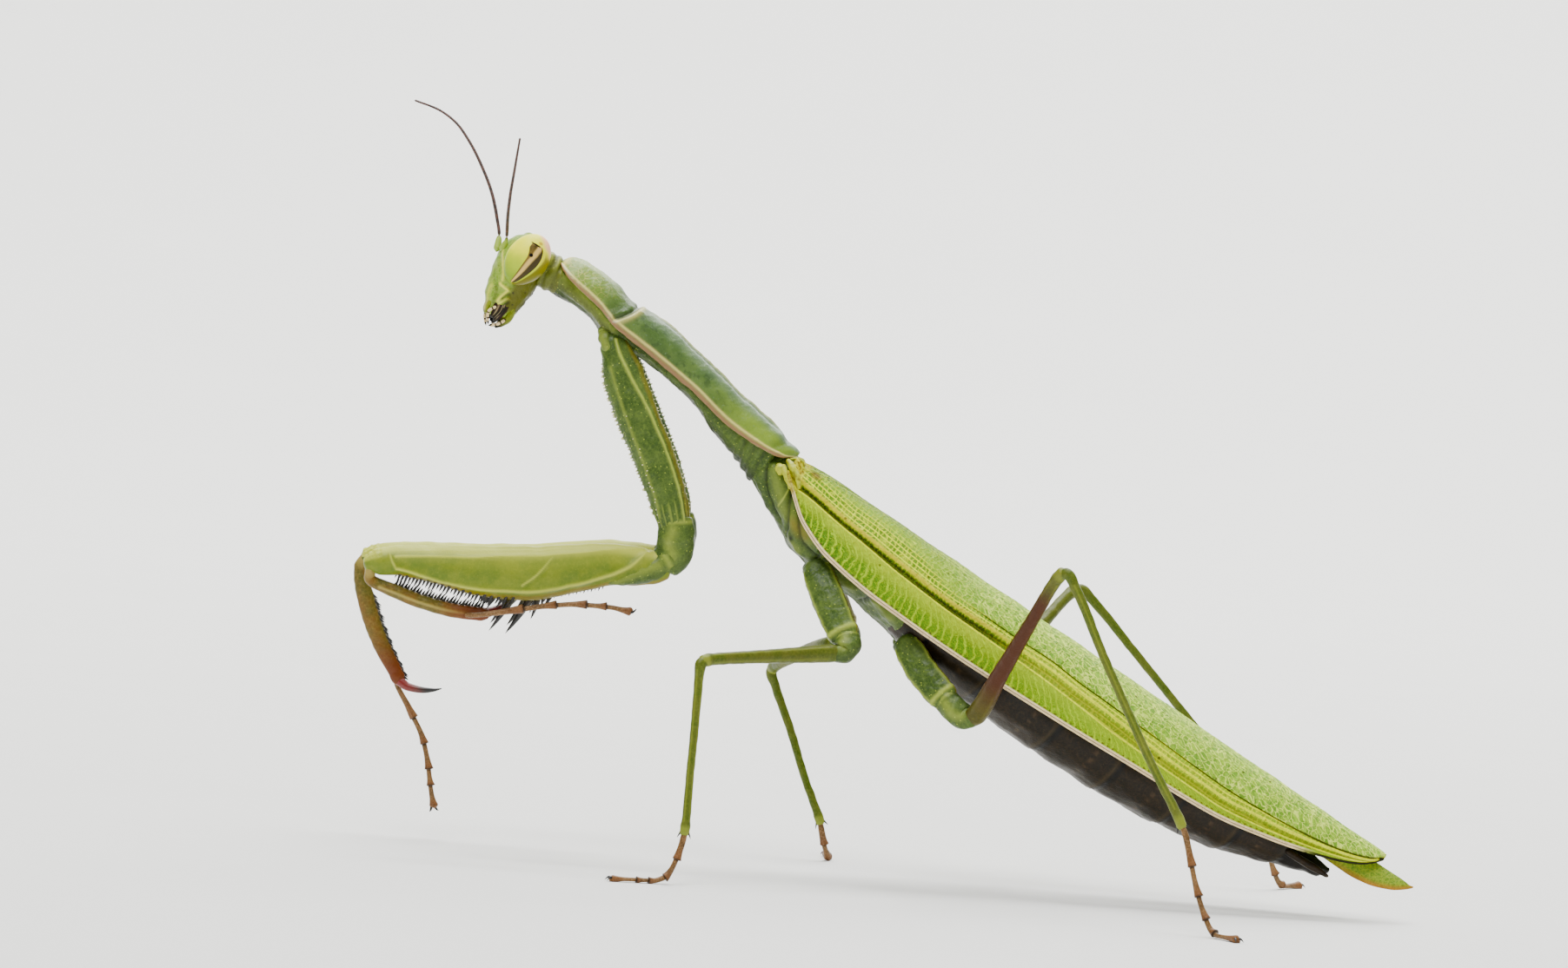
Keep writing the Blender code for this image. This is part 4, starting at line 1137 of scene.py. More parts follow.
skin = bodySkin()
legNames = [
    f"{pair}_{part}_{side}" for pair in ("fore", "middle", "hind") for side in ("left", "right")
    for part in ("coxa", "trochanter", "femur", "tibia", "tarsus")
]
keep(
    skin, "green_cuticle", "head", "neck", "prothorax", "mesothorax", "metathorax",
    *(f"abdomen_{k}" for k in range(1, 7)), "abdomen_tip", "cercus_left", "cercus_right", *legNames,
)
print("skin ready:", len(skin.data.polygons), "faces")

# the wings are closed sheets bent over the back
wingLook = {
    "ridge": 0.5, "overlap": -1.1, "seam": 0.2, "thickness": 0.12, "ribSpacing": 0.56,
    "yellow": tint(196, 208, 12), "leaf": tint(124, 156, 42), "deep": tint(92, 130, 36),
    "lime": tint(158, 184, 36), "cream": tint(252, 236, 206), "groove": tint(62, 64, 6),
    # the pale field's colours below are partly painted reflection of the light from above
    "olive": tint(132, 138, 20), "frost": tint(182, 206, 104), "frostDeep": tint(144, 174, 84),
    "web": tint(232, 244, 156), "bright": tint(240, 244, 70), "rib": tint(204, 222, 70),
    "beige": tint(212, 208, 84), "purple": tint(104, 58, 60), "brown": tint(118, 82, 34),
    "crest": tint(92, 124, 34), "root": tint(214, 210, 90),
}

# along, half width and depth from the ridge to the outer margin
forewingRows = [
    (-0.45, 1.95, 1.55),
    (0.60, 2.30, 2.40),
    (2.50, 3.00, 3.80),
    (5.30, 3.80, 4.75),
    (9.50, 4.35, 5.20),
    (15.00, 4.60, 5.30),
    (24.00, 4.60, 5.05),
    (30.00, 4.35, 4.75),
    (36.50, 3.75, 4.40),
    (41.00, 3.05, 3.60),
    (44.50, 2.35, 2.65),
    (46.80, 1.75, 1.80),
    (48.00, 1.10, 1.05),
    (48.60, 0.40, 0.45),
]
hindwingRows = [
    (5.00, 1.90, 1.60),
    (9.00, 2.60, 2.10),
    (16.00, 3.00, 2.35),
    (24.00, 3.00, 2.30),
    (32.00, 2.60, 2.20),
    (39.00, 1.95, 2.15),
    (44.00, 1.35, 2.20),
    (46.90, 1.02, 2.25),
    (48.40, 1.00, 2.05),
    (50.10, 0.90, 1.35),
    (51.00, 0.60, 0.65),
    (51.40, 0.20, 0.25),
]
# along, and the heights of the fold, of the main vein and of the groove's lower edge
laneRows = [
    (-0.45, 0.10, -0.45, -0.80),
    (0.60, 0.00, -0.90, -1.45),
    (1.75, -0.05, -1.03, -1.50),
    (3.40, -0.07, -1.18, -1.66),
    (5.40, -0.12, -1.38, -1.86),
    (7.40, -0.17, -1.55, -2.05),
    (9.80, -0.32, -1.70, -2.28),
    (12.3, -1.00, -1.90, -2.43),
    (14.3, -1.33, -1.95, -2.50),
    (18.1, -1.33, -1.90, -2.55),
    (21.6, -1.28, -1.89, -2.62),
    (24.2, -1.45, -1.99, -2.74),
    (28.4, -1.56, -2.20, -3.02),
    (33.5, -1.72, -2.46, -3.08),
    (36.3, -1.78, -2.48, -3.10),
    (40.3, -1.61, -2.10, -2.62),
    (43.1, -1.33, -1.68, -2.05),
    (45.7, -0.86, -1.10, -1.38),
    (47.7, -0.22, -0.45, -0.60),
    (48.6, 0.30, 0.22, 0.15),
]


def innerEdge(along, far, farAtTip):
    edge = 1.0 + (far - 1.0) * np.clip((along + 0.5) / 8.0, 0, 1)
    return edge + (farAtTip - far) * np.clip((along - 40.0) / 6.0, 0, 1)


def arcAcross(points):
    # the way across a sheet from its inner edge
    return np.cumsum(np.linalg.norm(np.diff(points, axis=1, prepend=points[:, :1]), axis=2), axis=1)


def sheetMesh(name, outer, thickness, marks, finish):
    # a closed sheet from a grid of outer points; thickness goes inwards
    lengthwise = np.gradient(outer, axis=0)
    crosswise = np.gradient(outer, axis=1)
    normals = unit(np.cross(lengthwise, crosswise))
    inwards = onRear(0.0, 0.0, -1.0) - onRear(0.0, 0.0, 0.0)
    if (normals @ inwards).sum() < 0:
        normals = -normals
    inner = outer + normals * thickness[..., None]
    rows, columns = outer.shape[:2]
    index = np.arange(rows * columns).reshape(rows, columns)
    under = index + rows * columns
    quads = [
        np.stack([index[:-1, :-1], index[:-1, 1:], index[1:, 1:], index[1:, :-1]], -1).reshape(-1, 4),
        np.stack([under[:-1, :-1], under[1:, :-1], under[1:, 1:], under[:-1, 1:]], -1).reshape(-1, 4),
    ]
    borders = ((np.s_[0, :], False), (np.s_[-1, :], True), (np.s_[:, 0], True), (np.s_[:, -1], False))
    for line, flip in borders:
        top, low = index[line], under[line]
        strip = np.stack([top[:-1], low[:-1], low[1:], top[1:]], -1)
        quads.append(strip[:, ::-1] if flip else strip)
    corners = np.vstack([outer.reshape(-1, 3), inner.reshape(-1, 3)])
    doubled = {mark: np.tile(values.ravel(), 2) for mark, values in marks.items()}
    sheet = addMesh(name, corners, np.vstack(quads).tolist(), doubled, finish)
    sheet.data.set_sharp_from_angle(angle=math.radians(60))
    return sheet


def vault(rows, along, theta, side, sink):
    # theta is the angle round the vault from the ridge
    width, depth = curveThrough(rows, along).T
    out = side * width[:, None] * np.sin(theta)
    height = wingLook["ridge"] - sink - depth[:, None] * (1.0 - np.cos(theta))
    return onRear(along[:, None], out, height)


def makeForewing(side, suffix):
    along = np.concatenate([np.linspace(-0.45, 46.0, 430), np.linspace(46.0, 48.6, 36)[1:]])
    width, depth = curveThrough(forewingRows, along).T
    if side < 0:
        inner = innerEdge(along, wingLook["overlap"], -wingLook["seam"])
    else:
        inner = innerEdge(along, wingLook["seam"] - wingLook["overlap"], 2.5 * wingLook["seam"])
    start = np.arcsin(np.clip(inner / width, -0.8, 0.8))
    heights = curveThrough(laneRows, along)
    lanes = [start]
    for height in heights.T:
        turn = np.arccos(np.clip(1.0 - (wingLook["ridge"] - height) / depth, 0.02, 1.0))
        lanes.append(np.maximum(turn, lanes[-1] + 0.03))
    lanes.append(np.full(along.shape, math.pi / 2))
    lanes = np.array(lanes)
    lanes[:-1] = np.minimum(lanes[:-1], (math.pi / 2 - 0.03 * np.arange(4, 0, -1))[:, None])
    columns = (36, 13, 11, 33)  # in each lane
    knots = np.concatenate([np.linspace(k, k + 1, n)[min(k, 1):] for k, n in enumerate(columns)])
    low = np.clip(knots.astype(int), 0, 3)
    share = knots - low
    theta = (lanes[low] * (1 - share)[:, None] + lanes[low + 1] * share[:, None]).T
    points = vault(forewingRows, along, theta, side, 0.0)
    arc = arcAcross(points)
    edges = [arc[:, np.searchsorted(knots, k)][:, None] for k in range(5)]
    fold, vein, groove, margin = (arc - edges[k] for k in (1, 2, 3, 4))
    lane = np.broadcast_to(knots, arc.shape)
    alongGrid = np.broadcast_to(along[:, None], arc.shape)
    costal = np.clip(groove / (edges[4] - edges[3]), 0, 1)
    wobble = 0.25 * unevenness(points, 3.0, 21)
    rib = (alongGrid - 2.9 * costal + 1.65 * costal ** 2 + wobble) / wingLook["ribSpacing"]
    strand = -vein / 0.40 + 0.12 * unevenness(points, 4.0, 22)
    rear = soften(alongGrid, 17.0, 21.0)
    tipFade = 1.0 - soften(alongGrid, 44.0, 48.0)

    def crest(phase, wide):
        return hump((phase + 0.5) % 1.0, 0.5, wide)

    height = 0.14 * hump(margin, -0.16, 0.15) * (0.4 + 0.6 * tipFade)
    height += 0.05 * hump(groove, 0.0, 0.08) * tipFade
    height -= (0.16 - 0.09 * rear) * hump(lane, 2.5, 0.26) * tipFade
    height += (0.10 - 0.03 * rear) * hump(vein, -0.10, 0.20 - 0.10 * rear) * tipFade
    inYellow = soften(lane, 0.95, 1.1) * (1 - soften(lane, 1.8, 1.95))
    height += 0.045 * crest(strand, 0.17) * inYellow * tipFade
    inCostal = soften(costal, 0.02, 0.15) * (1 - soften(margin, -0.45, -0.3))
    height += 0.045 * crest(rib, 0.17) * inCostal * tipFade
    height += 0.05 * (1 - soften(fold, -0.05, 0.06)) * soften(alongGrid, 13.0, 18.0)
    height -= 0.05 * hump(fold, 0.05, 0.06) * soften(alongGrid, 13.0, 18.0)
    height += 0.03 * crest(arc / 0.62, 0.14) * (1 - soften(lane, 0.35, 0.6))
    height += 0.05 * unevenness(points, 5.0, 23) + 0.012 * unevenness(points, 0.6, 24) * tipFade
    height += 0.16 * unevenness(points, 1.1, 25) * (1 - soften(alongGrid, 0.2, 1.4))
    outwards = unit(np.cross(np.gradient(points, axis=0), np.gradient(points, axis=1)))
    up = onRear(0.0, 0.0, 1.0) - onRear(0.0, 0.0, 0.0)
    if (outwards @ up).sum() < 0:
        outwards = -outwards
    points = points + outwards * height[..., None]
    thickness = wingLook["thickness"] + 0.10 * hump(margin, -0.16, 0.2)
    thickness -= 0.05 * soften(alongGrid, 44, 48)
    marks = {
        "along": alongGrid, "lane": lane, "arc": arc, "rib": rib, "strand": strand,
        "fromFold": fold, "fromVein": vein, "fromGroove": groove, "fromMargin": margin,
    }
    wing = sheetMesh(f"tegmen_{suffix}", points, thickness, marks, tegmenFinish)
    keep(wing, "wing_green", f"forewing_{suffix}")


def makeTegmenFinish():
    finish = Finish("tegmen", {"Specular IOR Level": 0.16, "IOR": 1.45})
    look = wingLook
    along, lane, arc = finish.mark("along"), finish.mark("lane"), finish.mark("arc")
    fold, vein = finish.mark("fromFold"), finish.mark("fromVein")
    groove, margin = finish.mark("fromGroove"), finish.mark("fromMargin")
    wander = finish.noise(1.6) - 0.5
    patches, fine = finish.noise(0.5), finish.noise(9.0)
    rear = along.between(16.0, 22.0)
    ribs = (finish.mark("rib") + wander * 1.1 + (fine - 0.5) * 0.25).lines(0.24)
    strands = (finish.mark("strand") + wander * 0.25).lines(0.22)
    rungs = (along / 0.34 + wander * 2.4 + fine * 0.6).lines(0.26)
    web = finish.node("ShaderNodeCombineXYZ", {}, {
        "X": along * 1.1 + wander * 0.8 + fine * 0.25, "Y": arc * 1.6 + wander * 1.0 + fine * 0.25,
    })
    netted = 1.0 - finish.cells(1.8, "DISTANCE_TO_EDGE", web).between(0.03, 0.095)
    mesh = 1.0 - finish.cells(3.8, "DISTANCE_TO_EDGE", web).between(0.02, 0.065)

    # the field between the groove and the outer margin
    away = groove.between(0.0, 1.5) + wander * 0.7
    costal = finish.layers(
        look, "yellow", (away, "leaf"), ((1.0 - along.between(1.5, 9.0)) * away * 0.75, "deep"),
        (along.between(14.0, 26.0) * 0.62, "lime"), (mesh * 0.65, "rib"), (ribs * 0.85, "rib"),
    )
    # the band between the fold and the main vein, with rungs between its long veins
    gaps = (1.0 - rungs) * (1.0 - strands) * patches.between(0.3, 0.45) * (1.0 - rear * 0.75)
    band = finish.layers(
        look, "yellow", (fine.between(0.38, 0.66) * 0.6, "lime"),
        (patches.between(0.45, 0.7) * 0.5, "lime"), (gaps * 0.9, "leaf"), (rungs * 0.5, "bright"),
        (strands, "bright"),
    )
    # the pale field under the ridge, greener and plainer in front; its paleness is partly painted reflection
    # of the light from above
    plain = finish.layers(
        look, "crest", (lane.between(0.35, 1.05), "lime"), (mesh * 0.4 + rungs * 0.15, "bright"),
    )
    # pale lines along the ridge are painted highlights
    ridgeHighlightLines = (arc / 0.5).lines(0.15) * (1.0 - lane.between(0.4, 0.75))
    frost = finish.layers(
        look, "frostDeep", (finish.noise(2.0).between(0.38, 0.62), "frost"), (mesh * 0.3, "frostDeep"),
        (netted * 0.95, "web"), ((1.0 - along.between(8.0, 18.0)) * 0.92, plain),
        (ridgeHighlightLines * 0.65, "web"),
    )
    wide = 0.04 + (1.0 - along.between(12.0, 18.0)) * 0.7
    # a painted shadow line along the fold, under the edge of the far wing that lies over the near one; it
    # widens towards the tip
    foldShadowWidth = 0.06 + along.between(36.0, 47.0) * 0.07
    foldShadow = (1.0 - (fold - 0.03).maths("ABSOLUTE").between(0.015, foldShadowWidth)) * along.between(13.0, 18.0)
    # the main vein, thick in front and thin behind, and the groove beside it
    fromVein = (vein + 0.08).maths("ABSOLUTE")
    trench = finish.layers(look, "groove", (rear, "olive"), (fine.between(0.52, 0.66) * 0.7, "leaf"))
    inTrench = lane.between(2.12, 2.35) * (1.0 - lane.between(2.80, 3.0)) * (1.0 - rear * 0.35)
    # the thick outer margin; round the tip its dark line is painted shadow over the hindwing
    dashes = (along / 0.42 + wander).lines(0.35)
    fringe = 1.0 - (margin + 0.40).maths("ABSOLUTE").between(0.02, 0.09)
    seam = 1.0 - (margin + 0.16).maths("ABSOLUTE").between(0.01, 0.045)
    tip = along.between(42.5, 44.5)
    # the hinge at the wing's root, and scattered specks
    root = 1.0 - (along + wander * 1.2).between(0.1, 1.1)
    streaks = finish.noise(2.6, 4.0).between(0.52, 0.66)
    patch = 1.0 - ((along - 1.3) ** 2.0 + (lane - 0.95) ** 2.0 * 2.0).maths("SQRT").between(0.15, 0.7)
    specks = 1.0 - finish.cells(0.7).between(0.05, 0.09)
    colour = finish.layers(
        look, frost, ((fold + wander * 0.2).between(0.0 - wide, wide), band), (foldShadow * 0.9, "groove"),
        ((1.0 - fromVein.between(0.09, 0.22)) * (1.0 - rear), "beige"),
        ((1.0 - fromVein.between(0.03, 0.09)) * rear, "bright"),
        (groove.between(-0.05, 0.02), costal), (inTrench * 0.9, trench),
        (1.0 - groove.maths("ABSOLUTE").between(0.02, 0.08), "bright"),
        (fringe * dashes * 0.75 * (1.0 - tip), "purple"),
        (margin.between(-0.34, -0.29) * (1.0 - tip), "cream"), (seam * 0.75 * (1.0 - tip), "brown"),
        # painted shadow: the dark line round the wing's tip
        (margin.between(-0.24, -0.16) * tip, "groove"), (root * 0.9, "root"),
        (root * streaks * 0.8, "brown"), (patch * 0.75, "brown"), (specks * 0.7, "groove"),
        # painted shadow at the very tip, where the shadow line along the fold ends
        (along.between(48.2, 48.35) * lane.between(0.9, 1.1), "groove"),
    )
    rough = 0.52 + wander * 0.2 + fine * 0.15
    relief = ribs * 0.7 + netted * 0.6 + mesh * 0.35 + rungs * 0.35 + strands * 0.3
    return finish.feed(colour, rough, finish.bump(relief, 60.0))


hindwingLook = {
    "base": tint(120, 144, 46), "second": tint(166, 178, 70), "net": tint(190, 196, 100),
    "rim": tint(176, 124, 50), "stripe": tint(110, 132, 50), "thickness": 0.09,
}


def makeHindwing(side, suffix):
    along = np.linspace(5.0, 51.4, 300)
    width = curveThrough(hindwingRows, along)[:, 0]
    inner = innerEdge(along, wingLook["seam"], 2.0 * wingLook["seam"])
    start = np.arcsin(np.clip(inner / width, -0.8, 0.8))
    end = np.radians(58.0 + 24.0 * np.clip((along - 38.0) / 7.0, 0, 1))
    share = np.linspace(0, 1, 46)
    theta = start[:, None] * (1 - share) + end[:, None] * share
    points = vault(hindwingRows, along, theta, side, 0.65)
    arc = arcAcross(points)
    alongGrid = np.broadcast_to(along[:, None], arc.shape)
    marks = {"along": alongGrid, "arc": arc, "fromMargin": arc - arc[:, -1:]}
    thickness = np.full(arc.shape, hindwingLook["thickness"])
    wing = sheetMesh(f"underwing_{suffix}", points, thickness, marks, hindwingFinish)
    keep(wing, "hindwing_green", f"hindwing_{suffix}")


def makeHindwingFinish():
    finish = Finish("hindwing", {"Specular IOR Level": 0.35, "IOR": 1.45})
    along, arc, margin = finish.mark("along"), finish.mark("arc"), finish.mark("fromMargin")
    speckle = finish.noise(7.0, 4.0)
    cells = finish.cells(3.0, "DISTANCE_TO_EDGE").between(0.0, 0.12)
    rim = margin.between(-0.55, -0.05) * along.between(44.0, 48.0)
    colour = finish.layers(
        hindwingLook, "base", (speckle.between(0.35, 0.65), "second"), ((1.0 - cells) * 0.4, "net"),
        (rim * 0.75, "rim"), ((1.0 - (arc / 0.5).lines(0.3)) * 0.2, "stripe"),
    )
    return finish.feed(colour, 0.45 + speckle * 0.15, finish.bump(cells, 20.0, 0.7))


tegmenFinish = makeTegmenFinish()
hindwingFinish = makeHindwingFinish()
for side, suffix in ((-1, "left"), (1, "right")):
    makeForewing(side, suffix)
    makeHindwing(side, suffix)

hingeLook = {"base": tint(198, 200, 92), "second": tint(150, 162, 50), "streak": tint(112, 100, 30)}
# along, side, height, half width and half depth of the small plates at a wing's root
hingeRows = {
    "plate": [
        (-0.85, 1.45, -0.22, 0.24, 0.18), (-0.20, 1.80, -0.50, 0.44, 0.26),
        (0.50, 2.05, -0.95, 0.42, 0.24), (0.85, 2.15, -1.30, 0.20, 0.14),
    ],
    "outerPlate": [
        (-0.95, 1.72, -0.72, 0.22, 0.22), (-0.35, 1.98, -1.12, 0.28, 0.24), (0.30, 2.18, -1.62, 0.18, 0.15),
    ],
    "lobe": [
        (-1.22, 1.62, -0.80, 0.18, 0.20), (-1.00, 1.76, -0.98, 0.33, 0.34), (-0.76, 1.86, -1.22, 0.20, 0.20),
    ],
    "edge": [
        (-0.75, 1.25, 0.00, 0.09, 0.09), (-0.35, 1.00, 0.24, 0.11, 0.11), (0.15, 1.02, 0.24, 0.11, 0.11),
        (0.55, 1.40, -0.10, 0.07, 0.07),
    ],
}


def makeHinge(side, name, finish):
    tubes = []
    for rows in hingeRows.values():
        rows = np.array(rows)
        places = onRear(rows[:, 0], side * rows[:, 1], rows[:, 2])
        tube = limbTube(np.column_stack([places, rows[:, 3:]]), 60, 40, side, "hinge", (0.1, 0.1))
        tube.roughen((0.025, 0.55, 51), (0.01, 0.25, 52))
        tubes.append(tube.build(f"plate{len(tubes)}", {"hinge": finish}))
    hinge = fuse(tubes)
    hinge.name = name
    hinge.data.shade_smooth()
    keep(hinge, "wing_green")


def makeHingeFinish():
    finish = Finish("wingHinge", {"Specular IOR Level": 0.35})
    grain, streak = finish.noise(5.0), finish.noise(1.7, 4.0)
    colour = finish.layers(
        hingeLook, "base", (grain.between(0.4, 0.7) * 0.6, "second"),
        (streak.between(0.54, 0.66) * 0.7, "streak"),
    )
    return finish.feed(colour, 0.38 + grain * 0.2, finish.bump(grain, 14.0, 0.7))


hingeFinish = makeHingeFinish()
for side, suffix in ((-1, "left"), (1, "right")):
    makeHinge(side, f"wingHinge_{suffix}", hingeFinish)
print("wings ready")

shieldLook = {
    # the pale blue-grey is painted sheen on the top, and also flecks the surface
    "base": tint(99, 118, 75), "second": tint(118, 135, 88), "frost": tint(146, 160, 142),
    "deep": tint(64, 82, 46), "rim": tint(160, 138, 112), "rimLine": tint(226, 220, 166),
    "yellow": tint(164, 180, 92),
}


def shieldSection(turn, side):
    # steep sides and a thin rim that turns outwards
    rim = hump(np.sin(turn), 0.0, 0.16) * (np.sin(turn) < 0.35)
    crown = np.abs(np.sin(turn)) * (np.sin(turn) > 0)
    return side * (1.0 + 0.05 * rim) * (1.0 - 0.03 * crown)


def makeShield():
    tube = trunkTube(onFront, pronotumRows, 270, 176, "shield", (0.05, 0.08), shieldSection)
    along, angle = tube.ruler, tube.angle
    groove = [(5.55, 90), (5.50, 62), (5.30, 36), (4.95, 17), (4.80, 10)]
    sulcus = tube.stroke(groove, 0.16)
    behind = tube.stroke([(a + 0.30, b) for a, b in groove], 0.22)
    hollow = tube.stroke([(a - 0.75, b) for a, b in groove[:4]], 0.75)
    tube.raiseBy(-0.20 * sulcus + 0.10 * behind - 0.14 * hollow)
    ridge = soften(along, 5.8, 8.0) * (1 - soften(along, 17.5, 19.0))
    keel = hump(angle, 90, 5.5) * ridge
    beside = hump(angle, 77, 4.5) * ridge
    front = hump(along, -0.25, 0.16) * (angle > 0)
    rearDip = tube.stroke([(19.3, 90), (19.2, 50), (18.9, 25)], 0.35)
    tube.raiseBy(0.10 * keel - 0.05 * beside + 0.06 * front - 0.10 * rearDip + 0.07 * hump(angle, 2, 7.0))
    tube.roughen((0.035, 1.4, 31), (0.012, 0.45, 32))
    # painted shade in the groove, the hollows and beside the keel
    tube.mark("dark", sulcus * 0.9 + 0.4 * hollow + 0.45 * rearDip + 0.35 * beside)
    tube.mark("pale", behind * 0.8 + front + 0.6 * keel)
    tube.mark("rim", hump(angle, 1, 6.5))
    tube.mark("rimLine", hump(angle, 9.5, 2.4) + hump(angle, -7.0, 2.5))
    # painted sheen on the top, in a pale blue-grey
    tube.mark("bloom", soften(angle, 35, 75) * soften(along, 5.0, 8.0))
    tube.mark("young", 1 - soften(along, 0.5, 5.5))
    tube.mark("end", soften(along, 12.0, 18.0) * (1 - soften(angle, 35, 70)))
    shield = tube.build("pronotumShield", {"shield": makeShieldFinish()})
    shield.data.set_sharp_from_angle(angle=math.radians(60))
    keep(shield, "green_cuticle", "pronotum")


def makeShieldFinish():
    finish = Finish("shieldCuticle", {"Specular IOR Level": 0.4, "IOR": 1.5})
    broad, middle, fine = finish.noise(0.7, 4.0), finish.noise(2.2, 4.0), finish.noise(7.0)
    veinlets = 1.0 - finish.cells(2.4, "DISTANCE_TO_EDGE").between(0.01, 0.06)
    young = finish.mark("young")
    colour = finish.layers(
        shieldLook, "base", (broad.between(0.38, 0.62), "second"),
        (middle.between(0.5, 0.7) * 0.55, "deep"), (young * 0.6, "yellow"),
        (young * veinlets * middle.between(0.35, 0.6) * 0.6, "rimLine"),
        # the pale blue-grey on the top is painted sheen
        (finish.mark("end") * 0.6, "yellow"), (finish.mark("bloom") * (0.35 + middle * 0.5), "frost"),
        (fine.between(0.58, 0.75) * 0.35, "frost"), (finish.mark("pale") * 0.8, "rimLine"),
        (finish.mark("dark") * 0.75, "deep"), (finish.mark("rim"), "rim"),
        (finish.mark("rimLine") * 0.85, "rimLine"),
    )
    rough = 0.40 + (middle - 0.5) * 0.2 + (fine - 0.5) * 0.15
    normal = finish.bump(fine, 16.0, 0.7, finish.bump(finish.cells(5.5), 18.0, 0.7))
    return finish.feed(colour, rough, normal)


makeShield()
print("shield ready")

eyeLook = {
    "place": (2.3, -0.22, 1.04), "size": (1.45, 1.15, 1.95), "splay": 12.0, "swing": 14.0,
    "crown": tint(244, 244, 120), "top": tint(240, 240, 6), "side": tint(196, 208, 0),
    "low": tint(150, 170, 10), "rear": tint(118, 108, 0), "cap": tint(250, 214, 190),
    "smudge": tint(150, 90, 70), "band": tint(222, 202, 150), "bandDark": tint(84, 76, 46),
    "bandTan": tint(142, 128, 88), "line": tint(34, 28, 14), "edge": tint(214, 212, 92),
    "pupil": tint(10, 8, 4),
}
# height in the eye's own unit, and the band's front and back edges there
eyeBand = [
    (-0.97, 0.04, 0.07),
    (-0.90, -0.04, 0.16),
    (-0.50, -0.09, 0.36),
    (-0.20, -0.12, 0.46),
    (0.10, -0.15, 0.52),
    (0.30, -0.24, 0.50),
    (0.45, -0.34, 0.43),
    (0.58, -0.34, 0.34),
    (0.645, -0.26, 0.25),
    (0.68, 0.05, 0.16),
]


def makeEye(side, name, node):
    rows, columns = 96, 144
    turn = np.linspace(0, math.pi, rows)[1:-1, None]
    spin = (np.arange(columns) * 2 * math.pi / columns)[None]
    ball = np.stack([
        np.sin(turn) * np.cos(spin), np.sin(turn) * np.sin(spin), np.cos(turn) + 0 * spin,
    ], -1)
    # a little fuller above and drawn to a blunt point below
    taper = 1.0 - 0.10 * soften(-ball[..., 2], 0.1, 1.0)
    shape = ball * np.stack([taper, taper, np.ones_like(taper)], -1)
    depth, width, tall = eyeLook["size"]
    left, forward, crown = eyeLook["place"]
    place = headPlace @ Matrix.Translation((-forward, -side * left, crown)) @ (
        Matrix.Rotation(math.radians(eyeLook["swing"]), 4, "Y")
        @ Matrix.Rotation(math.radians(side * eyeLook["splay"]), 4, "X")
        @ Matrix.Diagonal((depth, width, tall, 1.0))
    )
    place = np.array(place)
    poles = np.array([(0.0, 0.0, 1.0), (0.0, 0.0, -1.0)])
    units = np.vstack([shape.reshape(-1, 3), poles])
    corners = units @ place[:3, :3].T + place[:3, 3]
    x, y, z = units.T
    front, back = curveThrough(eyeBand, z).T
    marks = {
        "back": x, "outward": -side * y, "tall": z,
        "band": (x - (front + back) / 2) / np.maximum((back - front) / 2, 0.01),
    }
    eye = addMesh(name, corners, ringFaces(rows - 2, columns), marks, eyeFinish)
    keep(eye, "eye", node)


def makeEyeFinish():
    finish = Finish("eyeLens", {"IOR": 1.5, "Specular IOR Level": 0.18})
    look = eyeLook
    back, outward, tall, band = (finish.mark(name) for name in ("back", "outward", "tall", "band"))
    soft = finish.noise(1.2, 2.0) - 0.5
    facets = finish.cells(16.0)
    facing = outward.between(-0.05, 0.1)
    upwards = finish.node("ShaderNodeValToRGB", {"stops": (
        (0.08, look["low"]), (0.40, look["side"]), (0.62, look["top"]), (0.80, look["top"]),
        (0.93, look["crown"]),
    )}, {"Fac": tall * 0.5 + 0.5 + soft * 0.15 - back * 0.05})
    behind = (band + soft * 0.3).between(1.1, 1.5) * (1.0 - tall.between(0.35, 0.7)) * facing
    smudge = 1.0 - ((back - 0.02) ** 2.0 + (tall - 0.755) ** 2.0 * 4.0).maths("SQRT").between(0.04, 0.16)
    # the false pupil's band: cream in the middle, brown in front above, dark behind and below
    inside = (1.0 - band.maths("ABSOLUTE").between(0.92, 1.0)) * facing
    inside = inside * (1.0 - tall.between(0.66, 0.68)) * tall.between(-0.99, -0.92)
    across = band - tall.between(0.0, 0.7) * 0.75 + soft * 0.12
    stripe = finish.node("ShaderNodeValToRGB", {"stops": (
        (0.00, look["bandTan"]), (0.12, look["bandTan"]), (0.22, look["band"]), (0.42, look["band"]),
        (0.56, look["bandDark"]), (0.90, look["bandDark"]), (1.00, look["line"]),
    )}, {"Fac": across * 0.5 + 0.5})
    upper = tall.between(0.12, 0.28) * (1.0 - across.between(-0.85, -0.6))
    smoky = finish.layers(look, "bandTan", (finish.noise(2.6).between(0.35, 0.7), "bandDark"))
    front = (1.0 - (band + 0.93).maths("ABSOLUTE").between(0.02, 0.10)) * (1.0 - tall.between(-0.2, 0.1))
    stripe = finish.layers(look, stripe, (upper, smoky), (front * 0.8, "line"))
    # a painted highlight: a pale line just outside the band's back edge
    halo = (1.0 - (band - 1.14).maths("ABSOLUTE").between(0.04, 0.13)) * facing
    brow = (tall - 0.632 - back * 0.06).maths("ABSOLUTE").between(0.030, 0.012)
    brow = brow * back.between(-0.42, -0.34) * (1.0 - back.between(0.06, 0.16)) * facing
    pupil = (((back + 0.03) * 0.75) ** 2.0 + (tall - 0.23) ** 2.0).maths("SQRT").between(0.075, 0.055)
    colour = finish.layers(
        look, upwards, (behind * 0.85, "rear"),
        ((tall + back * 0.45 + soft * 0.2).between(0.78, 0.98), "cap"),
        (smudge * facing * 0.6, "smudge"), (inside, stripe),
        (halo * (1.0 - tall.between(0.55, 0.68)) * 0.7, "edge"), (brow, "line"),
        (pupil * facing, "pupil"),
    )
    return finish.feed(colour, 0.26 + facets * 0.2, finish.bump(facets, 5.0, 0.6))


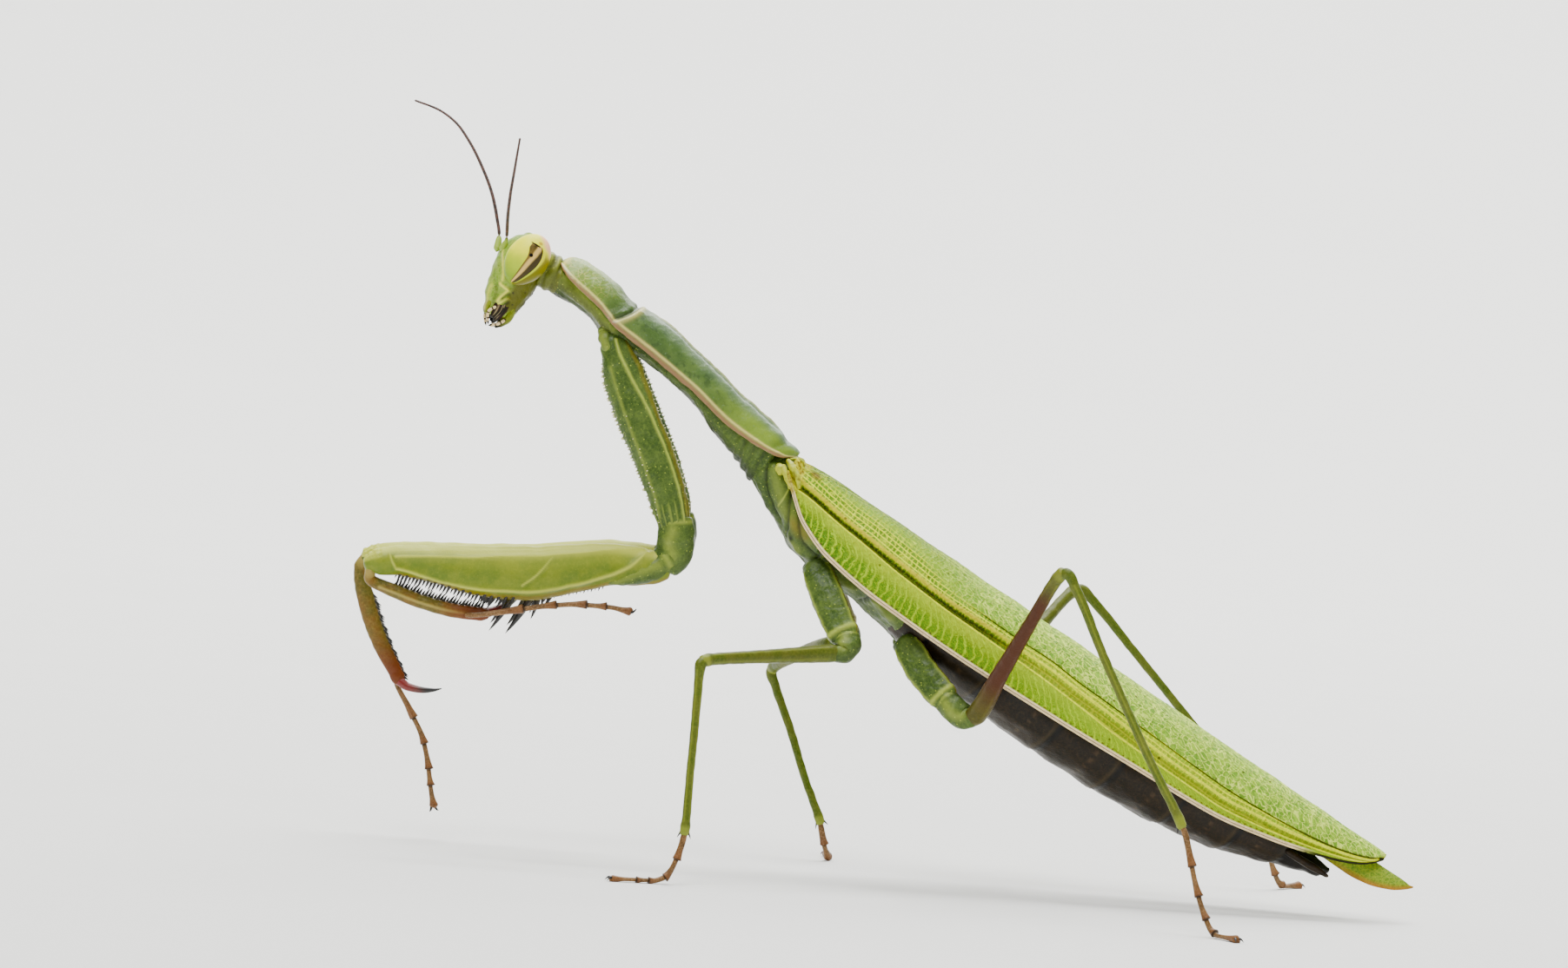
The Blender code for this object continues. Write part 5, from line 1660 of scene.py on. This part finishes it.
eyeFinish = makeEyeFinish()
makeEye(1, "eyeLens_left", "eye_left")
makeEye(-1, "eyeLens_right", "eye_right")

antennaLook = {
    "dark": tint(52, 44, 40), "light": tint(150, 116, 104), "socket": tint(176, 190, 110),
    "ring": tint(24, 20, 18),
    "thickness": (0.25, 0.22, 0.12, 0.11, 0.09, 0.06),
}
antennaRoutes = {
    "left": [
        (-20.55, -0.62, 41.60), (-20.32, -0.95, 42.35), (-20.33, -1.60, 43.60), (-20.25, -2.60, 45.20),
        (-20.05, -3.80, 47.00), (-19.80, -5.20, 49.20),
    ],
    "right": [
        (-20.95, -0.10, 41.60), (-20.88, 0.15, 42.35), (-21.15, 0.60, 43.70), (-21.65, 1.10, 45.35),
        (-22.60, 1.80, 47.30), (-23.55, 2.40, 48.80), (-24.60, 3.10, 50.00), (-25.95, 3.90, 50.80),
        (-27.50, 4.80, 51.25),
    ],
}


def makeAntenna(side, finish):
    route = np.array(antennaRoutes[side])
    reach = reachAlong(route)
    stops = np.array((0.0, 0.04, 0.08, 0.2, 0.6, 1.0)) * reach[-1]
    widths = np.column_stack([stops, antennaLook["thickness"]])
    width = curveThrough(widths, reach)
    tube = limbTube(np.column_stack([route, width, width]), 420, 20, 1, "antenna", (0.05, 0.06))
    fromRoot = tube.ruler * reach[-1]
    rings = (fromRoot / 0.17) % 1.0
    tube.raiseBy(curveThrough(widths, fromRoot) - tube.radius)
    tube.raiseBy(0.02 * np.sin(math.pi * rings) * soften(tube.ruler, 0.12, 0.2))
    tube.raiseBy(-0.07 * hump(fromRoot, 0.95, 0.08))
    tube.mark("base", 1 - soften(fromRoot, 0.6, 1.1))
    tube.mark("ring", hump(rings, 0.02, 0.1))
    feeler = tube.build(f"feeler_{side}", {"antenna": finish})
    keep(feeler, "antenna", f"antenna_{side}")


def makeAntennaFinish():
    finish = Finish("antennaHorn", {"Specular IOR Level": 0.5})
    grain = finish.noise(6.0)
    colour = finish.layers(
        antennaLook, "dark", (grain.between(0.3, 0.7) * 0.4, "light"), (finish.mark("ring") * 0.6, "ring"),
        (finish.mark("base"), "socket"),
    )
    return finish.feed(colour, 0.42 + grain * 0.2, finish.bump(grain, 8.0, 0.6))


antennaFinish = makeAntennaFinish()
for side in ("left", "right"):
    makeAntenna(side, antennaFinish)

mouthLook = {
    "brown": tint(72, 40, 14), "black": tint(14, 9, 5), "cream": tint(236, 222, 190),
    "green": tint(150, 158, 60), "darkGreen": tint(62, 60, 8),
}
# left, forward, crown, half width and half depth, in the head's own frame; base to tip
mouthTubes = {
    "labrum": [
        (0.0, 0.72, -2.20, 0.66, 0.36), (0.0, 0.80, -2.75, 0.54, 0.28), (0.0, 0.76, -3.08, 0.30, 0.14),
    ],
    "mandible": [
        (0.55, 0.14, -2.05, 0.32, 0.48), (0.58, 0.16, -2.70, 0.28, 0.36), (0.42, 0.26, -3.10, 0.16, 0.20),
        (0.26, 0.34, -3.28, 0.07, 0.08),
    ],
    "maxilla": [
        (0.60, -0.22, -2.10, 0.28, 0.36), (0.60, -0.16, -2.75, 0.24, 0.30), (0.46, -0.04, -3.25, 0.16, 0.20),
        (0.30, 0.04, -3.50, 0.07, 0.09),
    ],
    "lacinia": [
        (0.74, -0.10, -2.25, 0.14, 0.16), (0.76, -0.06, -2.75, 0.13, 0.15), (0.60, 0.08, -3.15, 0.10, 0.11),
        (0.44, 0.18, -3.38, 0.04, 0.05),
    ],
    "labium": [
        (0.0, -0.80, -2.20, 0.66, 0.42), (0.0, -0.74, -2.85, 0.56, 0.38), (0.0, -0.48, -3.40, 0.36, 0.26),
        (0.0, -0.26, -3.70, 0.18, 0.14),
    ],
    "palp": [
        (0.70, 0.20, -2.50, 0.12, 0.12), (0.74, 0.48, -2.72, 0.105, 0.105), (0.62, 0.68, -3.12, 0.10, 0.10),
        (0.52, 0.56, -3.45, 0.095, 0.095), (0.46, 0.36, -3.80, 0.05, 0.05),
    ],
    "lowerPalp": [
        (0.42, -0.62, -3.10, 0.11, 0.11), (0.42, -0.40, -3.42, 0.105, 0.105),
        (0.34, -0.10, -3.66, 0.10, 0.10), (0.28, 0.18, -3.78, 0.05, 0.05),
    ],
}


def makeMouth():
    finish = Finish("mouthHorn", {"Specular IOR Level": 0.22})
    grain, streak = finish.noise(5.0), finish.noise(2.0, 2.0)
    colour = finish.layers(
        mouthLook, "brown", (streak.between(0.4, 0.6), "darkGreen"), (finish.mark("leaf"), "green"),
        (finish.mark("pale"), "cream"), (finish.mark("dark"), "black"),
    )
    finish.feed(colour, 0.34 + grain * 0.2, finish.bump(grain, 10.0, 0.7))
    for part, rows in mouthTubes.items():
        rows = np.array(rows)
        for side in (1,) if part == "labrum" else (1, -1):
            places = inHead(rows[:, 2], side * rows[:, 0], rows[:, 1])
            tube = limbTube(np.column_stack([places, rows[:, 3:]]), 70, 32, -side, "mouth", (0.1, 0.08))
            share = tube.ruler
            if "alp" in part:
                rings = np.sin(math.pi * ((share * (4 if part == "palp" else 3)) % 1.0))
                tube.raiseBy(0.03 * rings - 0.018)
                tube.mark("pale", soften(rings, 0.2, 0.6) * (1 - soften(share, 0.86, 0.93)))
                tube.mark("dark", 0.8 * (1 - soften(rings, 0.05, 0.35)))
                tube.mark("dark", soften(share, 0.86, 0.93))
            elif part in ("labrum", "labium"):
                tube.roughen((0.03, 0.6, 41))
                tube.mark("leaf", 1.0 - 0.7 * soften(share, 0.3, 0.9) * (part == "labium"))
                tube.mark("dark", soften(share, 0.7, 0.97) * (0.9 if part == "labium" else 0.3))
                tube.mark("pale", 0.5 * tube.stroke([(0.1, 40), (0.8, 40)], 0.10) * (part == "labrum"))
            else:
                tube.roughen((0.02, 0.5, 42))
                tube.mark("dark", 0.3 + soften(share, 0.5, 0.95) * 0.7)
                for turn in (-48, 0, 44):
                    tube.raiseBy(0.03 * tube.stroke([(0.1, turn), (0.9, turn)], 0.05))
                    tube.mark("dark", tube.stroke([(0.1, turn + 22), (0.9, turn + 16)], 0.06))
                tube.mark("pale", 0.6 * tube.stroke([(0.08, 6), (0.88, 0)], 0.04))
            for mark in ("leaf", "pale", "dark"):
                tube.mark(mark, 0.0)
            piece = tube.build(f"{part}_{'left' if side > 0 else 'right'}", {"mouth": finish.material})
            keep(piece, "mouth", *(("mouthparts",) if part == "labrum" else ()))


makeMouth()
print("head pieces ready")
# the forelegs' hooks and spines, the claws and the small teeth
hornLook = {
    "black": tint(16, 12, 10), "brown": tint(46, 32, 20), "red": tint(112, 34, 14),
    "olive": tint(84, 80, 30),
}


def makeHornFinish():
    finish = Finish("darkHorn", {"Specular IOR Level": 0.55})
    grain = finish.noise(4.0)
    blackness = (finish.mark("toTip") + grain * 0.3 - 0.15).between(0.05, 0.5)
    colour = finish.layers(
        hornLook, "brown", (grain.between(0.35, 0.65), "olive"), (finish.mark("warm"), "red"),
        (blackness, "black"),
    )
    return finish.feed(colour, 0.28 + grain * 0.2, finish.bump(grain, 8.0, 0.5))


def makeThornMesh(name, thorns, finish, slot, sectors, rings):
    # thorns hold root, tip, root radius and a bend sideways; all joined as one mesh
    shares = np.linspace(0, 1, rings)[:-1]
    turn = np.arange(sectors)[:, None] * 2 * math.pi / sectors
    oneThorn = ringFaces(rings - 1, sectors)
    corners, faces = [], []
    for root, tip, radius, bend in thorns:
        root, tip, bend = (np.asarray(value, float) for value in (root, tip, bend))
        axis = unit(tip - root)
        side = unit(np.cross(axis, (0.3, 0.9, 0.1)))
        circle = np.cos(turn) * side + np.sin(turn) * np.cross(axis, side)
        faces += [[len(corners) + corner for corner in face] for face in oneThorn]
        for share in shares:
            middle = root + (tip - root) * share + bend * math.sin(math.pi * share)
            corners.extend(middle + radius * (1.0 - share) ** 0.7 * circle)
        corners += [root, tip]
    toTip = np.tile(np.append(np.repeat(shares, sectors), (0.0, 1.0)), len(thorns))
    keep(addMesh(name, corners, faces, {"toTip": toTip}, finish), slot)


def stationAt(stations, share):
    stations = np.asarray(stations, float)
    reach = reachAlong(stations[:, :3])
    return np.array([np.interp(share * reach[-1], reach, column) for column in stations.T])


# first and last share along the limb, count, lean, length and distance aside in half widths
combRows = {
    "femur": [
        (0.475, 0.880, 17, 0.50, 0.68, -0.35), (0.487, 0.868, 16, 0.50, 0.66, 0.35),
        (0.16, 0.355, 16, 0.30, 0.22, -0.10),
    ],
    "tibia": [(0.16, 0.95, 15, 0.75, 0.52, -0.20), (0.19, 0.92, 14, 0.75, 0.44, 0.30)],
}
# share along the femur, reach towards the knee, reach down, aside and root radius
longSpines = [
    (0.481, 1.46, 2.45, 0.15, 0.30), (0.416, 1.58, 2.67, 0.25, 0.34), (0.388, 0.44, 1.68, 0.20, 0.24),
    (0.372, 0.10, 0.90, -0.20, 0.14), (0.342, 0.55, 1.09, 0.15, 0.19), (0.573, 0.28, 0.86, 0.10, 0.17),
    (0.543, 0.53, 0.96, 0.20, 0.18), (0.513, 0.48, 0.86, 0.10, 0.17),
]


def comb(stations, rows, facing, clawwards, radius):
    facing, clawwards = np.array(facing, float), np.array(clawwards, float)
    thorns = []
    for first, last, count, lean, length, aside in rows:
        for k in range(count):
            x, y, z, width, depth = stationAt(stations, first + (last - first) * k / max(count - 1, 1))
            reach = depth * math.sqrt(1.0 - aside * aside)
            own = length * (1.0 if k % 2 else 0.74)
            centre = np.array((x, y + aside * width, z))
            root = centre + facing * (reach - 0.14)
            tip = centre + facing * (reach + own) + clawwards * lean * own
            thorns.append((root, tip, radius * min(1.0, own / 0.35), -0.05 * own * clawwards))
    return thorns


def makeSpines():
    finish = makeHornFinish()
    for suffix, femur, tibia, claw, facing, clawwards, scale in (
        ("left", foreFemurLeft[1:], foreTibiaLeft[2:], foreClawLeft, (0, 0, 1), (1, 0, 0), 1.0),
        ("right", foreFemurRight[1:], foreTibiaRight[2:], foreClawRight, (1, 0, 0), (0, 0, -1), 0.86),
    ):
        inward = 1.0 if suffix == "left" else -1.0
        thorns = comb(femur, combRows["femur"], (0, 0, -1), (-1, 0, 0), 0.135)
        for share, ahead, down, aside, radius in longSpines:
            x, y, z, width, depth = stationAt(femur, share)
            root = np.array((x, y + inward * aside * width, z - depth * 0.92))
            tip = root + np.array((-ahead, 0.1 * inward, -down)) * scale
            thorns.append((root, tip, radius, (0.03 * down, 0.0, 0.0)))
        makeThornMesh(f"femurSpines_{suffix}", thorns, finish, "dark_horn", 12, 10)
        thorns = comb(tibia, combRows["tibia"], facing, clawwards, 0.14)
        makeThornMesh(f"tibiaSpines_{suffix}", thorns, finish, "dark_horn", 10, 8)
        tube = limbTube(claw, 80, 32, -1 if suffix == "left" else 1, "horn", (0.1, 0.02))
        tube.mark("toTip", tube.ruler ** 2.2)
        tube.mark("warm", 1 - soften(tube.ruler, 0.3, 0.95))
        tube.raiseBy(-0.03 * tube.stroke([(0.1, 0), (0.9, 0)], 0.08))
        hook = tube.build(f"foreHook_{suffix}", {"horn": finish})
        keep(hook, "dark_horn", f"fore_claw_{suffix}")
    makeClaws(finish)


def makeClaws(finish):
    # a pair of curved claws on each foot, and a pair of spurs at the end of each walking shin
    thorns = []
    for foot, lift in (
        (foreTarsusLeft, 0.34), (foreTarsusRight, 0.05), (middleTarsusLeft, 0.0),
        (middleTarsusRight, 0.0), (hindTarsusLeft, 0.0), (hindTarsusRight, 0.0),
    ):
        end, before = np.array(foot[-1][:3]), np.array(foot[-2][:3])
        heading = unit(end - before)
        across = unit(np.cross(heading, (0.0, 0.0, 1.0) if abs(heading[2]) < 0.8 else (0.0, 1.0, 0.0)))
        for way in (-1, 1):
            root = end + way * across * 0.08
            tip = end + heading * 0.50 + way * across * 0.34 + np.array((0.0, 0.0, lift))
            if lift == 0.0:
                tip[2] = 0.05
            thorns.append((root, tip, 0.12, (0.0, 0.0, 0.16 if lift == 0.0 else -0.12)))
    for shin in (middleTibiaLeft, middleTibiaRight, hindTibiaLeft, hindTibiaRight):
        end, before = np.array(shin[-1][:3]), np.array(shin[-2][:3])
        heading = unit(end - before)
        across = unit(np.cross(heading, (0.0, 1.0, 0.0)))
        for way in (-1, 1):
            root = end + way * across * 0.20 - heading * 0.1
            thorns.append((root, root + heading * 0.55 + way * across * 0.28, 0.09, (0.0, 0.0, 0.0)))
    makeThornMesh("footClaws", thorns, finish, "dark_horn", 10, 10)


makeSpines()


toothLook = {"root": tint(120, 140, 84), "tip": tint(232, 228, 196)}


def makeToothFinish():
    finish = Finish("toothHorn", {"Specular IOR Level": 0.5})
    grain = finish.noise(4.0, 2.0)
    colour = finish.layers(toothLook, "root", (finish.mark("toTip").between(0.1, 0.7), "tip"))
    return finish.feed(colour, 0.35 + grain * 0.2, finish.bump(grain, 6.0, 0.5))


# rows of teeth on a fore coxa: route of share and angle, count and height in mm
toothRows = [
    ([(0.12, 90), (0.50, 92), (0.93, 90)], 46, 0.17), ([(0.16, -88), (0.93, -86)], 34, 0.12),
    ([(0.42, 33), (0.628, 36), (0.754, 39), (0.839, 42), (0.97, 60)], 17, 0.08),
    ([(0.10, 66), (0.60, 68)], 13, 0.06),
]


def makeTeeth():
    # small pale teeth along the fore coxae's edges
    chance = np.random.default_rng(12)
    thorns = []
    for outer in (-1, 1):
        tube = foreCoxaTube(outer)
        points = tube.shaped()
        rings, sectors = points.shape[:2]
        for route, count, size in toothRows:
            places = curveThrough(
                np.column_stack([np.arange(len(route)), route]), np.linspace(0, len(route) - 1, count)
            )
            for share, turn in places:
                share = share + chance.normal() * 0.004
                turn = turn + chance.normal() * 2.5
                ring = int(len(domeTurns) + share * (rings - 1 - 2 * len(domeTurns)))
                sector = int(round(turn % 360 / 360 * sectors)) % sectors
                root = points[ring, sector]
                outwards = unit(root - points[ring].mean(axis=0))
                own = size * chance.uniform(0.7, 1.3)
                thorns.append((root - outwards * 0.05, root + outwards * own, own * 0.5 + 0.02, (0, 0, 0)))
    makeThornMesh("coxaTeeth", thorns, makeToothFinish(), "green_cuticle", 8, 5)


makeTeeth()
print("spines ready")

studioLook = {
    "floor": tint(238, 238, 236), "floorShade": tint(235, 235, 233), "world": 0.28, "distance": 0.6,
    "elevation": 2.5, "roll": 4.5, "lens": 200.0, "aim": (0.0, 0.0, 26.952),
}
# place and aim in metres
lights = {
    "key": {"place": (-0.16, -0.36, 0.66), "aim": (0.0, 0.0, 0.02), "size": 0.30, "power": 4.3},
    "fill": {"place": (0.5, -0.5, 0.25), "aim": (0.0, 0.0, 0.02), "size": 0.5, "power": 0.45},
    "rim": {"place": (0.15, 0.5, 0.45), "aim": (0.0, 0.0, 0.03), "size": 0.4, "power": 2.2},
    "backdrop": {"place": (0.0, 0.30, 1.1), "aim": (0.0, 0.85, 0.30), "size": 0.8, "power": 27.0},
}


def makeFloor():
    # one sheet that runs back and sweeps up into a backdrop, in metres
    profile = [(-1.2, 0.0), (0.35, 0.0)]
    for turn in np.radians(np.linspace(8, 90, 12)):
        profile.append((0.35 + 0.5 * math.sin(turn), 0.5 - 0.5 * math.cos(turn)))
    profile.append((0.85, 1.6))
    points = [(x, y, z) for x in (-1.6, 1.6) for y, z in profile]
    count = len(profile)
    faces = [(k, k + count, k + count + 1, k + 1) for k in range(count - 1)]
    mesh = bpy.data.meshes.new("floorSheet")
    mesh.from_pydata(points, [], faces)
    mesh.shade_smooth()
    finish = Finish("floorPaper", {"Roughness": 0.85})
    colour = finish.layers(studioLook, "floor", (finish.noise(0.05), "floorShade"))
    mesh.materials.append(finish.feed(colour))
    addObject("floorSheet", mesh)


def makeLight(name, light):
    lamp = bpy.data.lights.new(name, "AREA")
    lamp.size = light["size"]
    lamp.energy = light["power"]
    thing = addObject(name, lamp)
    thing.location = light["place"]
    heading = Vector(light["aim"]) - Vector(light["place"])
    thing.rotation_euler = heading.to_track_quat("-Z", "Y").to_euler()


def makeCamera():
    elevation, roll = math.radians(studioLook["elevation"]), math.radians(studioLook["roll"])
    target = Vector(inFrame(studioLook["aim"]))
    distance = studioLook["distance"]
    lens = bpy.data.cameras.new("camera")
    lens.lens = studioLook["lens"]
    lens.sensor_width = 36.0
    lens.clip_start = 0.01
    camera = addObject("camera", lens)
    turn = Matrix.Rotation(math.pi / 2 - elevation, 4, "X") @ Matrix.Rotation(roll, 4, "Z")
    away = Vector((0.0, -math.cos(elevation), math.sin(elevation))) * distance
    camera.matrix_world = Matrix.Translation(target + away) @ turn
    bpy.context.scene.camera = camera


makeFloor()
for name, light in lights.items():
    makeLight(name, light)
world = bpy.data.worlds.new("studio")
world.use_nodes = True
world.node_tree.nodes["Background"].inputs["Color"].default_value = (1, 1, 1, 1)
world.node_tree.nodes["Background"].inputs["Strength"].default_value = studioLook["world"]
bpy.context.scene.world = world
makeCamera()
print("studio ready")
